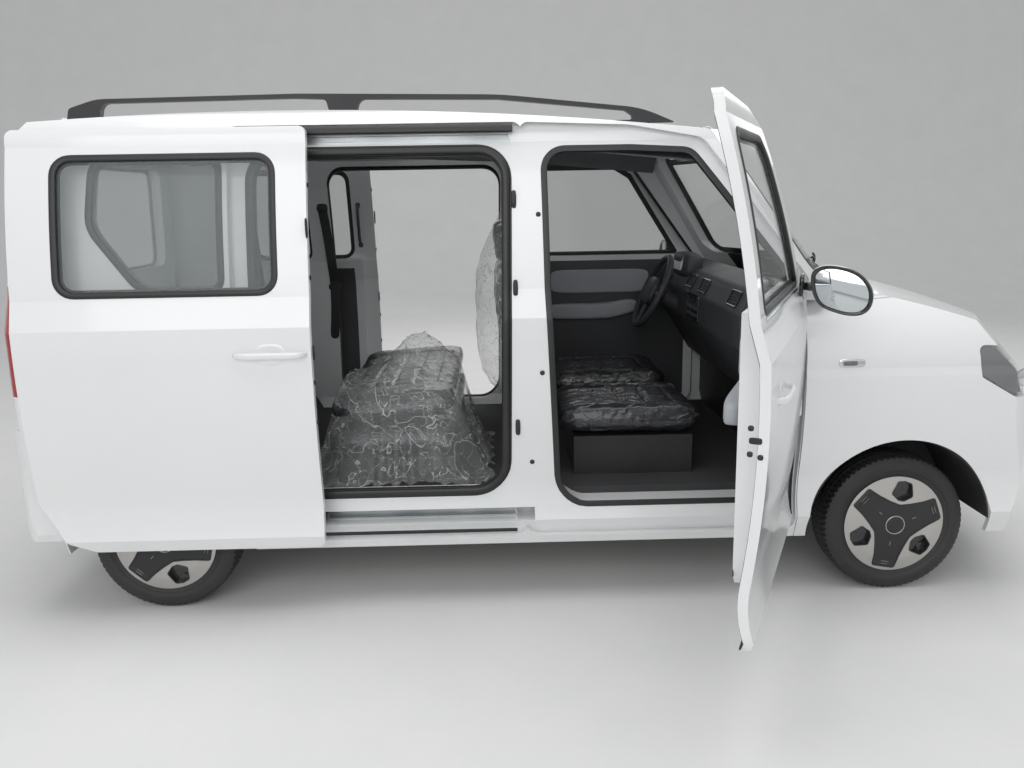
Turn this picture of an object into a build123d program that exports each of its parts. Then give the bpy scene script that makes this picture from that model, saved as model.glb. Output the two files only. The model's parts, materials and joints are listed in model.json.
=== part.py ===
from build123d import *
from math import cos, radians, sin
import os

# Electric minivan, millimetres. X points forward, Y to the left, Z up, and the ground is Z = 0.
# The right front door stands open and both sliding doors are slid back.

# Overall sizes
front_overhang = 660.0
wheelbase = 2800.0
rear_overhang = 535.0
overall_length = front_overhang + wheelbase + rear_overhang
nose_x = overall_length / 2
tail_x = -overall_length / 2
front_axle_x = nose_x - front_overhang
rear_axle_x = tail_x + rear_overhang
reach = nose_x + 200.0

# Body section: half widths at their heights, from the sill to the roof
sill_low = (795.0, 240.0)
flare_lip = (826.0, 330.0)
scallop_mid = (808.0, 415.0)
scallop_top = (810.0, 492.0)
side_mid = (836.0, 760.0)
shoulder_low = (836.0, 1105.0)
shoulder_top = (806.0, 1208.0)
glass_mid = (762.0, 1480.0)
cant_rail = (700.0, 1725.0)
cant_bend = (678.0, 1800.0)
roof_edge = (615.0, 1853.0)
section_top = (560.0, 1990.0)
fender_crease = (836.0, 870.0)
fender_mid = (806.0, 1030.0)
fender_top = (700.0, 1150.0)
crown_drop = 4240.0
crown_half_angle = 12.0

# Side profile of the roof, tailgate and windscreen
gate_low = (tail_x + 52.5, 150.0)
gate_belt = (tail_x + 62.5, 1150.0)
gate_high = (tail_x + 112.5, 1790.0)
roof_rear = (tail_x + 167.5, 1856.0)
roof_mid = (rear_axle_x + 762.5, 1880.0)
roof_front = (front_axle_x - 567.5, 1778.0)
screen_foot = (front_axle_x - 122.5, 1205.0)
screen_bow_radius = 1700.0
screen_drum_back = 1015.0

# Side profile and plan of the nose
bonnet_rear = (front_axle_x - 437.5, 1235.0)
bonnet_mid = (front_axle_x + 162.5, 1143.0)
bonnet_front = (nose_x - 167.5, 1030.0)
nose_upper = (nose_x - 47.5, 880.0)
nose_bow_radius = 1727.0
nose_plan_ahead = 30.0
nose_face_z = 520.0
nose_foot_back = 40.0
nose_slope = 1.18
nose_rise = 300.0
bonnet_fall = (bonnet_mid[1] - bonnet_front[1]) / (bonnet_front[0] - bonnet_mid[0])
nose_corner_radius = 260.0
tail_edge_radius = 48.0
tail_corner_radius = 150.0
plan_half_width = 852.0

# Wall layers, measured inward from the outer skin
skin_step = 28.0
sliding_door_depth = 58.0
roof_wall = 42.0
rear_wall = 55.0
screen_wall = 60.0
screen_pillar = 40.0
panel_wall = 22.0
inner_wall_y = 742.0
sill_inner_y = 690.0
floor_top_z = 425.0
roof_seam_y = 560.0

# Gaps
door_gap = 9.0
panel_gap = 5.0
seat_gap = 0.3
step_clearance = 7.0
seal_gap = 5.0
door_rear_trim = 8.0

# Doors, closed, in side view
door_front_x = front_axle_x - 403.5
door_split_x = -85.0
door_sill_z = 283.0
door_belt_z = 1215.0
door_top_rear_z = 1785.0
door_top_front = (door_front_x - 369.0, 1722.0)
sliding_door_rear_x = rear_axle_x + 347.0
sliding_door_length = door_split_x - door_gap / 2 - sliding_door_rear_x
sliding_door_travel = 740.0
sliding_door_offset = 78.0
hinge_inset = 9.0
right_door_angle = 65.0
hinge_heights = (760.0, 1050.0)

# Windows
window_sill_z = 1222.0
window_top_z = 1690.0
glass_thickness = 5.0
glass_depth = 8.0

# Wheels
tyre_radius = 272.0
tyre_width = 165.0
tyre_tread_width = 132.0
bead_radius = 184.0
wheel_face_y = 785.0
cover_radius = 192.0
arch_radius = 352.0
liner_wall = 5.0
spindle_radius = 22.0
running_clearance = 0.05
wheel_y = wheel_face_y - tyre_width / 2

# Steering
kingpin_top = (560.0, 790.0)
kingpin_low = (660.0, 190.0)

parts = {}


def keep(name, part):
    """Labels a finished piece and stores it under its name."""
    part.label = name
    parts[name] = part


def mirrored(part):
    """The same piece on the other side of the vehicle."""
    with BuildPart(mode=Mode.PRIVATE) as copy:
        mirror(part, about=Plane.XZ)
    return copy.part


def side_prism(points, radii, y_from, y_to, grow=0.0):
    """A prism across the vehicle from an outline of (x, z) points, its corners rounded and its edge grown."""
    with BuildPart(mode=Mode.PRIVATE) as prism:
        with BuildSketch(Plane.XZ.offset(-y_from)):
            with BuildLine():
                FilletPolyline(points, radius=radii, close=True)
            make_face()
            if grow:
                offset(amount=grow)
        extrude(amount=y_from - y_to)
    return prism.part


def section_prism(points, x_from, x_to, radii=0.0, grow=0.0):
    """A prism along the vehicle from an outline of (y, z) points."""
    with BuildPart(mode=Mode.PRIVATE) as prism:
        with BuildSketch(Plane.YZ.offset(x_from)):
            with BuildLine():
                FilletPolyline(points, radius=radii, close=True)
            make_face()
            if grow:
                offset(amount=grow)
        extrude(amount=x_to - x_from)
    return prism.part


def plan_prism(points, radii, z_from, z_to):
    """A vertical prism from an outline of (x, y) points."""
    with BuildPart(mode=Mode.PRIVATE) as prism:
        with BuildSketch(Plane.XY.offset(z_from)):
            with BuildLine():
                FilletPolyline(points, radius=radii, close=True)
            make_face()
        extrude(amount=z_to - z_from)
    return prism.part


def block(x0, x1, y0, y1, z0, z1):
    """A plain block between two corners."""
    with BuildPart(mode=Mode.PRIVATE) as solid:
        with BuildSketch(Plane.XY.offset(z0)):
            with Locations(((x0 + x1) / 2, (y0 + y1) / 2)):
                Rectangle(x1 - x0, y1 - y0)
        extrude(amount=z1 - z0)
    return solid.part


def rod(start, end, radius):
    """A round bar from start to end."""
    line = Edge.make_line(start, end)
    with BuildPart(mode=Mode.PRIVATE) as bar:
        with BuildSketch(Plane(origin=start, z_dir=line % 0)):
            Circle(radius)
        extrude(amount=line.length)
    return bar.part


def cut(part, *tools):
    """The piece without the tools' volumes."""
    with BuildPart(mode=Mode.PRIVATE) as rest:
        add(part)
        for tool in tools:
            add(tool, mode=Mode.SUBTRACT)
    return rest.part


def common(part, *tools):
    """The volume that the piece shares with every tool."""
    with BuildPart(mode=Mode.PRIVATE) as shared:
        add(part)
        for tool in tools:
            add(tool, mode=Mode.INTERSECT)
    return shared.part


def joined(*pieces):
    """Several pieces as one."""
    with BuildPart(mode=Mode.PRIVATE) as whole:
        for piece in pieces:
            add(piece)
    return whole.part


def moved(part, x=0.0, y=0.0, z=0.0):
    """The piece at another place."""
    return Pos(x, y, z) * part


# Forms: the section, the side profile and the plan are each a prism or a turned band.
# The body is what they share.


def half_section(rows, inset):
    """A closed section from (half width, height) rows, its walls moved inward by the inset and mirrored."""
    with BuildSketch(Plane.YZ, mode=Mode.PRIVATE) as sketch:
        with BuildLine():
            low, lip, scallop, crease, side, shoulder, belt, pane, rail, bend, edge, top = [
                (inset - y, z) for y, z in rows
            ]
            Line((0, low[1]), low)
            Line(low, lip)
            ThreePointArc(lip, scallop, crease)
            ThreePointArc(crease, side, shoulder)
            Line(shoulder, belt)
            ThreePointArc(belt, pane, rail)
            ThreePointArc(rail, bend, edge)
            Line(edge, top)
            Line(top, (0, top[1]))
            Line((0, top[1]), (0, low[1]))
        make_face()
        mirror(about=Plane.YZ)
    return sketch.sketch


cabin_rows = [
    sill_low, flare_lip, scallop_mid, scallop_top, side_mid, shoulder_low, shoulder_top, glass_mid,
    cant_rail, cant_bend, roof_edge, section_top,
]
front_rows = [
    sill_low,
    flare_lip,
    scallop_mid,
    scallop_top,
    (side_mid[0], 680.0),
    fender_crease,
    (fender_crease[0] - 4, fender_crease[1] + 30),
    fender_mid,
    fender_top,
    (fender_top[0] - 25, 1300.0),
    (fender_top[0] - 60, 1450.0),
    (fender_top[0] - 90, 1500.0),
]


def crowned(points_line):
    """A side profile turned about a low lengthwise axis, so that every surface on top has the roof's crown."""
    tilt = radians(crown_half_angle)
    plane = Plane(origin=(0, 0, -crown_drop), x_dir=(1, 0, 0), z_dir=(0, -cos(tilt), sin(tilt)))
    with BuildPart(mode=Mode.PRIVATE) as band:
        with BuildSketch(plane):
            with BuildLine():
                points_line()
            make_face()
        revolve(axis=Axis((0, 0, -crown_drop), (1, 0, 0)), revolution_arc=2 * crown_half_angle)
    return band.part


def lifted(point, inset_x=0.0, inset_z=0.0):
    """A side-profile point measured from the crown's axis."""
    return (point[0] + inset_x, point[1] + inset_z + crown_drop)


def cabin_profile(wall_rear, wall_roof, wall_front):
    """Draws the closed side profile of the cabin, inset by its walls."""
    low = lifted(gate_low, wall_rear)
    belt = lifted(gate_belt, wall_rear)
    high = lifted(gate_high, wall_rear, -wall_roof)
    rear = lifted(roof_rear, wall_rear, -wall_roof)
    mid = lifted(roof_mid, 0, -wall_roof)
    front = lifted(roof_front, -wall_front, -wall_roof)
    foot = lifted(screen_foot, -wall_front, -wall_roof)
    Line(low, belt)
    Line(belt, high)
    Line(high, rear)
    ThreePointArc(rear, mid, front)
    Line(front, foot)
    Line(foot, (foot[0], low[1]))
    Line((foot[0], low[1]), low)


slope_vector = Vector(roof_front[0] - screen_foot[0], 0, roof_front[1] - screen_foot[1]).normalized()
slope_normal = Vector(-slope_vector.Z, 0, slope_vector.X)
if slope_normal.X < 0:
    slope_normal = slope_normal * -1
screen_point = Vector(screen_foot[0], 0, screen_foot[1])


def screen_drum(inset):
    """A drum along the windscreen's slope whose wall is the bowed screen, inset towards the cabin."""
    centre = screen_point - slope_normal * screen_bow_radius - slope_vector * 1200
    with BuildPart(mode=Mode.PRIVATE) as drum:
        with BuildSketch(Plane(origin=centre, x_dir=(0, 1, 0), z_dir=slope_vector)):
            Circle(screen_bow_radius - inset)
        extrude(amount=3200)
    return drum.part


def drum_band(inset):
    """Everything behind the windscreen's bow: the drum, and the cabin behind its centre."""
    behind = screen_foot[0] - screen_drum_back
    return joined(screen_drum(inset), block(-reach, behind, -1200, 1200, 0, 2200))


with BuildPart() as cabin_form:
    add(crowned(lambda: cabin_profile(0, 0, 0)))
    extrude(half_section(cabin_rows, 0), amount=reach, both=True, mode=Mode.INTERSECT)
    add(drum_band(0), mode=Mode.INTERSECT)
    tail_corners = cabin_form.edges().filter_by(
        lambda edge: edge.center().X < gate_high[0] + 5 and abs(edge.center().Y) > 640 and edge.center().Z > 400
    )
    fillet(tail_corners, tail_edge_radius)

with BuildPart() as cabin_inner:
    add(crowned(lambda: cabin_profile(rear_wall, roof_wall, screen_wall)))
    with BuildSketch(Plane.YZ):
        with BuildLine():
            Polyline(
                (0, 100), (-sill_inner_y, 100), (-sill_inner_y, floor_top_z), (-inner_wall_y, floor_top_z + 45),
                (-inner_wall_y, door_belt_z), (-625, 1765), (-540, 1850), (-540, 2000), (0, 2000), close=True,
            )
        make_face()
        mirror(about=Plane.YZ)
    extrude(amount=reach, both=True, mode=Mode.INTERSECT)
    add(drum_band(screen_pillar), mode=Mode.INTERSECT)

with BuildPart() as mid_layer:
    extrude(half_section(cabin_rows, skin_step), amount=reach, both=True)

with BuildPart() as seal_layer:
    extrude(half_section(cabin_rows, skin_step + seal_gap), amount=reach, both=True)

with BuildPart() as sliding_layer:
    extrude(half_section(cabin_rows, sliding_door_depth), amount=reach, both=True)


def bonnet_profile(wall):
    """Draws the closed side profile under the bonnet's top curve, inset by a wall."""
    rear = lifted(bonnet_rear, 0, -wall)
    mid = lifted(bonnet_mid, 0, -wall)
    front = lifted(bonnet_front, 0, -wall)
    ahead = (nose_x + 100, front[1] - (nose_x + 100 - front[0]) * bonnet_fall)
    ThreePointArc(rear, mid, front)
    Line(front, ahead)
    Line(ahead, (ahead[0], 60 + crown_drop))
    Line((ahead[0], 60 + crown_drop), (rear[0], 60 + crown_drop))
    Line((rear[0], 60 + crown_drop), rear)


def turned_nose(wall):
    """The nose's side profile turned about the upright axis of its bow."""
    bow_x = nose_x - nose_bow_radius
    with BuildPart(mode=Mode.PRIVATE) as nose:
        with BuildSketch(Plane.XZ):
            with BuildLine():
                high = (nose_upper[0] - wall - nose_rise, nose_upper[1] + nose_rise * nose_slope)
                upper = (nose_upper[0] - wall, nose_upper[1])
                foot = (nose_x - nose_foot_back - wall, 240.0)
                Line(high, upper)
                ThreePointArc(upper, (nose_x - wall, nose_face_z), foot)
                Line(foot, (foot[0] - 10, 60))
                Line((foot[0] - 10, 60), (bow_x, 60))
                Line((bow_x, 60), (bow_x, high[1]))
                Line((bow_x, high[1]), high)
            make_face()
        revolve(axis=Axis((bow_x, 0, 0), (0, 0, 1)))
    return nose.part


def nose_plan(wall):
    """The nose in plan: straight sides, a bowed front and rounded corners."""
    with BuildPart(mode=Mode.PRIVATE) as plan:
        with BuildSketch(Plane.XY):
            with Locations((nose_x - 600, 0)):
                Rectangle(1600, 2 * (plan_half_width - wall))
            with Locations((nose_x - nose_bow_radius, 0)):
                Circle(nose_bow_radius + nose_plan_ahead - wall, mode=Mode.INTERSECT)
        extrude(amount=1600)
        fillet(plan.edges().filter_by(Axis.Z).group_by(Axis.X)[-1], nose_corner_radius - wall)
    return plan.part


def front_body(wall):
    """The front end inset by a wall: what the crown, the section, the nose and the plan share."""
    with BuildPart(mode=Mode.PRIVATE) as body:
        add(crowned(lambda: bonnet_profile(wall)))
        extrude(half_section(front_rows, wall), amount=reach, both=True, mode=Mode.INTERSECT)
        add(turned_nose(wall), mode=Mode.INTERSECT)
        add(nose_plan(wall), mode=Mode.INTERSECT)
    return body.part


with BuildPart() as front_form:
    add(front_body(0))

with BuildPart() as front_inner:
    add(front_body(panel_wall))
    add(block(bonnet_rear[0] - 100, reach, -inner_wall_y, inner_wall_y, -50, 262))

front_shell = cut(front_form.part, front_inner.part)
cabin_shell = cut(cabin_form.part, cabin_inner.part)


# Doors and their openings, as outlines in side view
front_door_outline = [
    (door_front_x - 8, door_sill_z), (door_front_x, door_belt_z + 10), door_top_front,
    (door_top_front[0] - 260, door_top_rear_z - 16), (door_split_x + door_gap / 2, door_top_rear_z),
    (door_split_x + door_gap / 2, door_sill_z),
]
front_door_radii = [30, 25, 60, 300, 25, 60]
sliding_door_outline = [
    (door_split_x - door_gap / 2, door_sill_z), (door_split_x - door_gap / 2, door_top_rear_z),
    (sliding_door_rear_x, door_top_rear_z), (sliding_door_rear_x, 470.0),
    (sliding_door_rear_x + 90, 325.0), (sliding_door_rear_x + 190, door_sill_z),
]
sliding_door_radii = [30, 25, 25, 60, 60, 60]
front_window = [
    (door_front_x - 118, window_sill_z), (door_front_x - 395, 1640.0), (door_front_x - 480, window_top_z),
    (door_split_x + 84, window_top_z), (door_split_x + 84, window_sill_z),
]
front_window_radii = [12, 40, 60, 45, 35]
sliding_window = [
    (door_split_x - 118, window_sill_z), (door_split_x - 118, window_top_z),
    (sliding_door_rear_x + 157, window_top_z), (sliding_door_rear_x + 157, window_sill_z),
]
sliding_window_radii = [60, 60, 60, 60]
quarter_window = [
    (sliding_door_rear_x - 34.5, window_sill_z), (sliding_door_rear_x - 34.5, window_top_z),
    (rear_axle_x - 137.5, window_top_z), (rear_axle_x - 154.5, 1450.0), (rear_axle_x + 22.5, window_sill_z),
]
quarter_window_radii = [45, 45, 60, 120, 110]
right_far = -1000.0
right_near = -420.0

# The body's apertures inside the doors' outlines, and the doors' inner steps that close them
front_aperture = [
    (door_front_x - 36, 396.0), (door_front_x - 32, door_belt_z - 10), (door_top_front[0] - 36, 1692.0),
    (door_top_front[0] - 250, 1704.0), (door_split_x + 88, 1704.0), (door_split_x + 95, door_belt_z),
    (door_split_x + 130, 396.0),
]
front_aperture_radii = [80, 20, 60, 150, 70, 0, 110]
front_step_outline = front_aperture[:4] + [(x + door_rear_trim, z) for x, z in front_aperture[4:]]
sliding_aperture = [
    (door_split_x - 83, 455.0), (door_split_x - 60, 1700.0), (sliding_door_rear_x + 75, 1700.0),
    (sliding_door_rear_x + 75, 560.0), (sliding_door_rear_x + 150, 455.0),
]
sliding_aperture_radii = [110, 90, 90, 60, 60]

front_door_tool = side_prism(front_door_outline, front_door_radii, right_near, right_far)
front_door_hole = side_prism(front_door_outline, front_door_radii, right_near, right_far, door_gap)
front_step_tool = side_prism(front_step_outline, front_aperture_radii, right_near, right_far, -step_clearance)
front_step_hole = side_prism(front_aperture, front_aperture_radii, right_near, right_far)
front_window_tool = side_prism(front_window, front_window_radii, right_near, right_far)
front_glass_tool = side_prism(front_window, front_window_radii, right_near, right_far, -seat_gap)
sliding_door_tool = side_prism(sliding_door_outline, sliding_door_radii, right_near, right_far)
sliding_door_hole = side_prism(sliding_door_outline, sliding_door_radii, right_near, right_far, door_gap)
sliding_step_tool = side_prism(
    sliding_aperture, sliding_aperture_radii, right_near, right_far, -step_clearance
)
sliding_step_hole = side_prism(sliding_aperture, sliding_aperture_radii, right_near, right_far)
step_zone = block(-reach, reach, right_far, -inner_wall_y, 0, window_sill_z)
sliding_window_tool = side_prism(sliding_window, sliding_window_radii, right_near, right_far)
sliding_glass_tool = side_prism(sliding_window, sliding_window_radii, right_near, right_far, -seat_gap)
quarter_window_tool = side_prism(quarter_window, quarter_window_radii, right_near, right_far)
quarter_glass_tool = side_prism(quarter_window, quarter_window_radii, right_near, right_far, -seat_gap)

with BuildPart() as glass_outer:
    extrude(half_section(cabin_rows, glass_depth), amount=reach, both=True)

with BuildPart() as glass_inner:
    extrude(half_section(cabin_rows, glass_depth + glass_thickness), amount=reach, both=True)

glass_layer = cut(glass_outer.part, glass_inner.part)


def wheel_arch(axle_x, radius, y_from, y_to):
    """A round clearance through the body's side about an axle."""
    with BuildPart(mode=Mode.PRIVATE) as arch:
        with BuildSketch(Plane.XZ.offset(-y_from)):
            with Locations((axle_x, tyre_radius)):
                Circle(radius)
        extrude(amount=y_from - y_to)
    return arch.part


# Tail: the tailgate, its opening, the lamps and the bumper
gate_front_x = tail_x + 194.5
gate_gap = 9.0
gate_sill_z = 742.0
gate_half_low = 690.0
gate_half_high = 588.0
lamp_inner_y = 704.0
lamp_low_z = 862.0
lamp_high_z = 1253.0
lamp_front_x = tail_x + 125.5
tail_bumper_top = 730.0
tail_bumper_front = tail_x + 175.5
gate_outline = [
    (-gate_half_low, gate_sill_z), (gate_half_low, gate_sill_z), (gate_half_low, 1200.0),
    (gate_half_high, 1735.0), (gate_half_high, 2000.0), (-gate_half_high, 2000.0),
    (-gate_half_high, 1735.0), (-gate_half_low, 1200.0),
]
gate_radii = [40, 40, 60, 60, 0, 0, 60, 60]
gate_window = [(-585.0, 1225.0), (585.0, 1225.0), (520.0, 1690.0), (-520.0, 1690.0)]
gate_tool = section_prism(gate_outline, -reach, gate_front_x, gate_radii)
gate_hole = section_prism(gate_outline, -reach, gate_front_x + gate_gap, gate_radii, panel_gap)

with BuildPart() as tailgate:
    add(cabin_shell)
    add(gate_tool, mode=Mode.INTERSECT)
    add(section_prism(gate_window, -reach, gate_front_x + 100, 55), mode=Mode.SUBTRACT)

with BuildPart() as gate_pane:
    add(crowned(lambda: cabin_profile(glass_depth, glass_depth, 0)))
    pane_inner = glass_depth + glass_thickness
    add(crowned(lambda: cabin_profile(pane_inner, pane_inner, 0)), mode=Mode.SUBTRACT)
    add(section_prism(gate_window, -reach, gate_high[0] + 45, 55, -seat_gap), mode=Mode.INTERSECT)

lamp_box = block(-reach, lamp_front_x, -900, -lamp_inner_y, lamp_low_z, lamp_high_z)

with BuildPart() as tail_lamp_right:
    add(cabin_form.part)
    lamp_front = lamp_front_x - seat_gap
    lamp_low = lamp_low_z + seat_gap
    lamp_high = lamp_high_z - seat_gap
    add(block(-reach, lamp_front, -900, -lamp_inner_y, lamp_low, lamp_high), mode=Mode.INTERSECT)

# Windscreen
screen_outline = [(-700.0, 1232.0), (700.0, 1232.0), (572.0, 1722.0), (-572.0, 1722.0)]
screen_radii = 60.0

with BuildPart() as windscreen:
    add(screen_drum(4))
    add(screen_drum(4 + glass_thickness), mode=Mode.SUBTRACT)
    add(
        section_prism(screen_outline, roof_front[0] - 370, screen_foot[0] + 85, screen_radii, -seat_gap),
        mode=Mode.INTERSECT,
    )

screen_hole = section_prism(screen_outline, roof_front[0] - 210, screen_foot[0] + 185, screen_radii)

# Body side, roof and floor
cowl_low_z = 1150.0
floor_front_x = door_front_x + 8.0
cowl_front_x = screen_foot[0] + 85.0
side_zone = block(-reach, screen_foot[0], -1000, -roof_seam_y, 200, 2000)
fender_zone = block(door_front_x + 6, cowl_front_x, -1000, -inner_wall_y - 48, 200, 1205)

with BuildPart() as side_frame_right:
    add(cabin_shell)
    add(side_zone, mode=Mode.INTERSECT)
    add(cut(front_door_hole, seal_layer.part), mode=Mode.SUBTRACT)
    add(front_step_hole, mode=Mode.SUBTRACT)
    add(cut(sliding_door_hole, seal_layer.part), mode=Mode.SUBTRACT)
    add(sliding_step_hole, mode=Mode.SUBTRACT)
    add(quarter_window_tool, mode=Mode.SUBTRACT)
    add(gate_hole, mode=Mode.SUBTRACT)
    add(lamp_box, mode=Mode.SUBTRACT)
    add(wheel_arch(rear_axle_x, arch_radius, -500, -1000), mode=Mode.SUBTRACT)
    add(block(-reach, tail_bumper_front + 3, -1000, -500, 0, tail_bumper_top + seat_gap), mode=Mode.SUBTRACT)
    add(screen_hole, mode=Mode.SUBTRACT)
    add(fender_zone, mode=Mode.SUBTRACT)
    add(block(floor_front_x, cowl_front_x, -1000, -400, 100, cowl_low_z), mode=Mode.SUBTRACT)

with BuildPart() as roof_panel:
    add(cabin_shell)
    roof_zone = block(gate_front_x + gate_gap, roof_front[0] + 130, -roof_seam_y, roof_seam_y, 1690, 2000)
    add(roof_zone, mode=Mode.INTERSECT)
    add(screen_hole, mode=Mode.SUBTRACT)

keep("tailgate_glass", gate_pane.part)

with BuildPart() as tail_lamps:
    add(tail_lamp_right.part)
    mirror(about=Plane.XZ)
keep("tail_lamps", tail_lamps.part)

quarter_glass = common(glass_layer, quarter_glass_tool)

with BuildPart() as fixed_glass:
    add(windscreen.part)
    add(quarter_glass)
    add(mirrored(quarter_glass))
keep("fixed_glass", fixed_glass.part)

# Front doors, built closed and then turned about their hinges
hinge_x = door_front_x - hinge_inset
hinge_y = -(side_mid[0] + 4.5 - hinge_inset)
hinge_radius = 7.0
hinge_length = 60.0
hinge_split = 20.0
leaf_thickness = 6.0
hinge_pin_radius = 3.5


def barrel(height, z_low, z_high, radius):
    """A stretch of a hinge barrel about the hinge axis."""
    return rod((hinge_x, hinge_y, height + z_low), (hinge_x, hinge_y, height + z_high), radius)


def hinge_zone(height):
    """A clearance around one hinge barrel and the body's leaf."""
    half = hinge_length / 2 + 4
    leaf_room = block(hinge_x - 6, door_front_x + 20, hinge_y + 1, hinge_y + 60, height - half, height + half)
    return joined(barrel(height, -half, half, hinge_radius + 4), leaf_room)


with BuildPart() as door_closed:
    add(cut(common(cabin_form.part, front_door_tool), mid_layer.part))
    add(common(cabin_shell, front_step_tool, mid_layer.part, step_zone))
    add(front_window_tool, mode=Mode.SUBTRACT)
    add(block(hinge_x, door_front_x + 5, hinge_y + 10, hinge_y + 60, 200, 1300), mode=Mode.SUBTRACT)
    for height in hinge_heights:
        add(hinge_zone(height), mode=Mode.SUBTRACT)
        add(barrel(height, -hinge_split / 2, hinge_split / 2, hinge_radius))
        add(
            block(
                hinge_x - 40, hinge_x, hinge_y, hinge_y + leaf_thickness,
                height - hinge_split / 2, height + hinge_split / 2,
            )
        )
        add(barrel(height, -hinge_split, hinge_split, hinge_pin_radius + running_clearance), mode=Mode.SUBTRACT)

with BuildPart() as body_hinges:
    for height in hinge_heights:
        for low, high in ((-hinge_length / 2, -hinge_split / 2 - 1), (hinge_split / 2 + 1, hinge_length / 2)):
            add(barrel(height, low, high, hinge_radius))
            add(block(hinge_x - 1, hinge_x + 5, hinge_y, hinge_y + 40, height + low, height + high))
        add(barrel(height, -hinge_length / 2, hinge_length / 2, hinge_pin_radius))

with BuildPart() as door_pane:
    add(glass_layer)
    add(front_glass_tool, mode=Mode.INTERSECT)

mirror_foot = (door_front_x - 92.0, door_front_x - 50.0, 1196.0, 1250.0)
mirror_x = door_front_x - 210.0
with BuildPart() as door_mirror:
    with BuildSketch(Plane.XZ.offset(895)):
        with BuildLine():
            FilletPolyline(
                (mirror_x, 1192), (mirror_x + 160, 1180), (mirror_x + 181, 1330), (mirror_x + 156, 1352),
                (mirror_x + 18, 1345), radius=[34, 34, 24, 24, 34], close=True,
            )
        make_face()
    with BuildSketch(Plane.XZ.offset(1072)):
        with BuildLine():
            FilletPolyline(
                (mirror_x + 12, 1198), (mirror_x + 142, 1190), (mirror_x + 156, 1322), (mirror_x + 138, 1338),
                (mirror_x + 28, 1334), radius=[34, 34, 20, 20, 34], close=True,
            )
        make_face()
    loft()
    add(
        cut(
            block(mirror_foot[0], mirror_foot[1], -900, -780, mirror_foot[2], mirror_foot[3]),
            extrude(half_section(cabin_rows, -seat_gap), amount=reach, both=True, mode=Mode.PRIVATE),
        )
    )


# The centre track's groove in the rear side panel, and the tailgate's hinges under the roof's rear edge
track_z = 1106.0
track_height = 22.0
track_depth = 30.0
track_front_x = sliding_door_rear_x - 12.5
track_rear_x = sliding_door_rear_x - sliding_door_travel + 13.5
upper_track = (sliding_door_rear_x + 40.5, door_split_x - 35.0)
lower_track = (rear_axle_x + 497.5, door_split_x - 33.0)
lower_track_z = (330.0, 378.0)
upper_track_z = (1726.0, 1762.0)
lower_recess_front_x = door_split_x + 33.0
gate_hinge_x = gate_front_x - hinge_inset
gate_hinge_z = 1849.0
gate_hinge_y = 400.0


def gate_barrel(y_mid, y_low, y_high, radius):
    """A stretch of a tailgate hinge about its axis."""
    start = (gate_hinge_x, y_mid + y_low, gate_hinge_z)
    return rod(start, (gate_hinge_x, y_mid + y_high, gate_hinge_z), radius)


with BuildPart() as body_side_right:
    add(side_frame_right.part)
    add(body_hinges.part)
    add(
        block(
            track_rear_x, track_front_x, -1000, -shoulder_low[0] + track_depth,
            track_z - track_height / 2, track_z + track_height / 2,
        ),
        mode=Mode.SUBTRACT,
    )
    add(block(upper_track[0], upper_track[1], -1000, -600, upper_track_z[0], upper_track_z[1]), mode=Mode.SUBTRACT)
    add(
        block(
            lower_track[0], lower_recess_front_x, -1000, -sill_inner_y - seat_gap,
            lower_track_z[0], lower_track_z[1] + seat_gap,
        ),
        mode=Mode.SUBTRACT,
    )
keep("side_frame_right", body_side_right.part)
keep("side_frame_left", mirrored(body_side_right.part))

with BuildPart() as gate_panel:
    add(tailgate.part)
    for side in (1, -1):
        mid = side * gate_hinge_y
        half = hinge_length / 2
        add(gate_barrel(mid, -half - 4, half + 4, hinge_radius + 4), mode=Mode.SUBTRACT)
        add(
            block(gate_hinge_x - 4, gate_hinge_x + 40, mid - half - 4, mid + half + 4, gate_hinge_z - 14, 1900),
            mode=Mode.SUBTRACT,
        )
        add(gate_barrel(mid, -hinge_split / 2, hinge_split / 2, hinge_radius))
        add(
            block(
                gate_hinge_x - 40, gate_hinge_x, mid - hinge_split / 2, mid + hinge_split / 2,
                gate_hinge_z - leaf_thickness, gate_hinge_z,
            )
        )
        bore = gate_barrel(mid, -hinge_split, hinge_split, hinge_pin_radius + running_clearance)
        add(bore, mode=Mode.SUBTRACT)
keep("tailgate", gate_panel.part)

with BuildPart() as roof_top:
    add(roof_panel.part)
    for side in (1, -1):
        mid = side * gate_hinge_y
        for low, high in ((-hinge_length / 2, -hinge_split / 2 - 1), (hinge_split / 2 + 1, hinge_length / 2)):
            add(gate_barrel(mid, low, high, hinge_radius))
            add(
                block(
                    gate_hinge_x, gate_front_x + gate_gap + 5, mid + low, mid + high,
                    gate_hinge_z - leaf_thickness - 4, gate_hinge_z - 4,
                )
            )
        add(gate_barrel(mid, -hinge_length / 2, hinge_length / 2, hinge_pin_radius))
keep("roof_panel", roof_top.part)


def opened(part):
    """A right-hand door piece turned about the hinge axis to the angle at which the door stands."""
    return part.rotate(Axis((hinge_x, hinge_y, 0), (0, 0, 1)), right_door_angle)


for name, part in (("", door_closed.part), ("_glass", door_pane.part), ("_mirror", door_mirror.part)):
    keep("front_door_right" + name, opened(part))
    keep("front_door_left" + name, mirrored(part))

# Sliding doors, built closed and then carried back and outward
with BuildPart() as sliding_closed:
    add(cut(common(cabin_form.part, sliding_door_tool), mid_layer.part))
    add(cut(common(cabin_form.part, sliding_step_tool, mid_layer.part, step_zone), sliding_layer.part))
    add(sliding_window_tool, mode=Mode.SUBTRACT)

sliding_pane = common(glass_layer, sliding_glass_tool)
sliding_door_right = moved(sliding_closed.part, -sliding_door_travel, -sliding_door_offset)
keep("sliding_door_right", sliding_door_right)
keep("sliding_door_left", mirrored(sliding_door_right))

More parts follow.
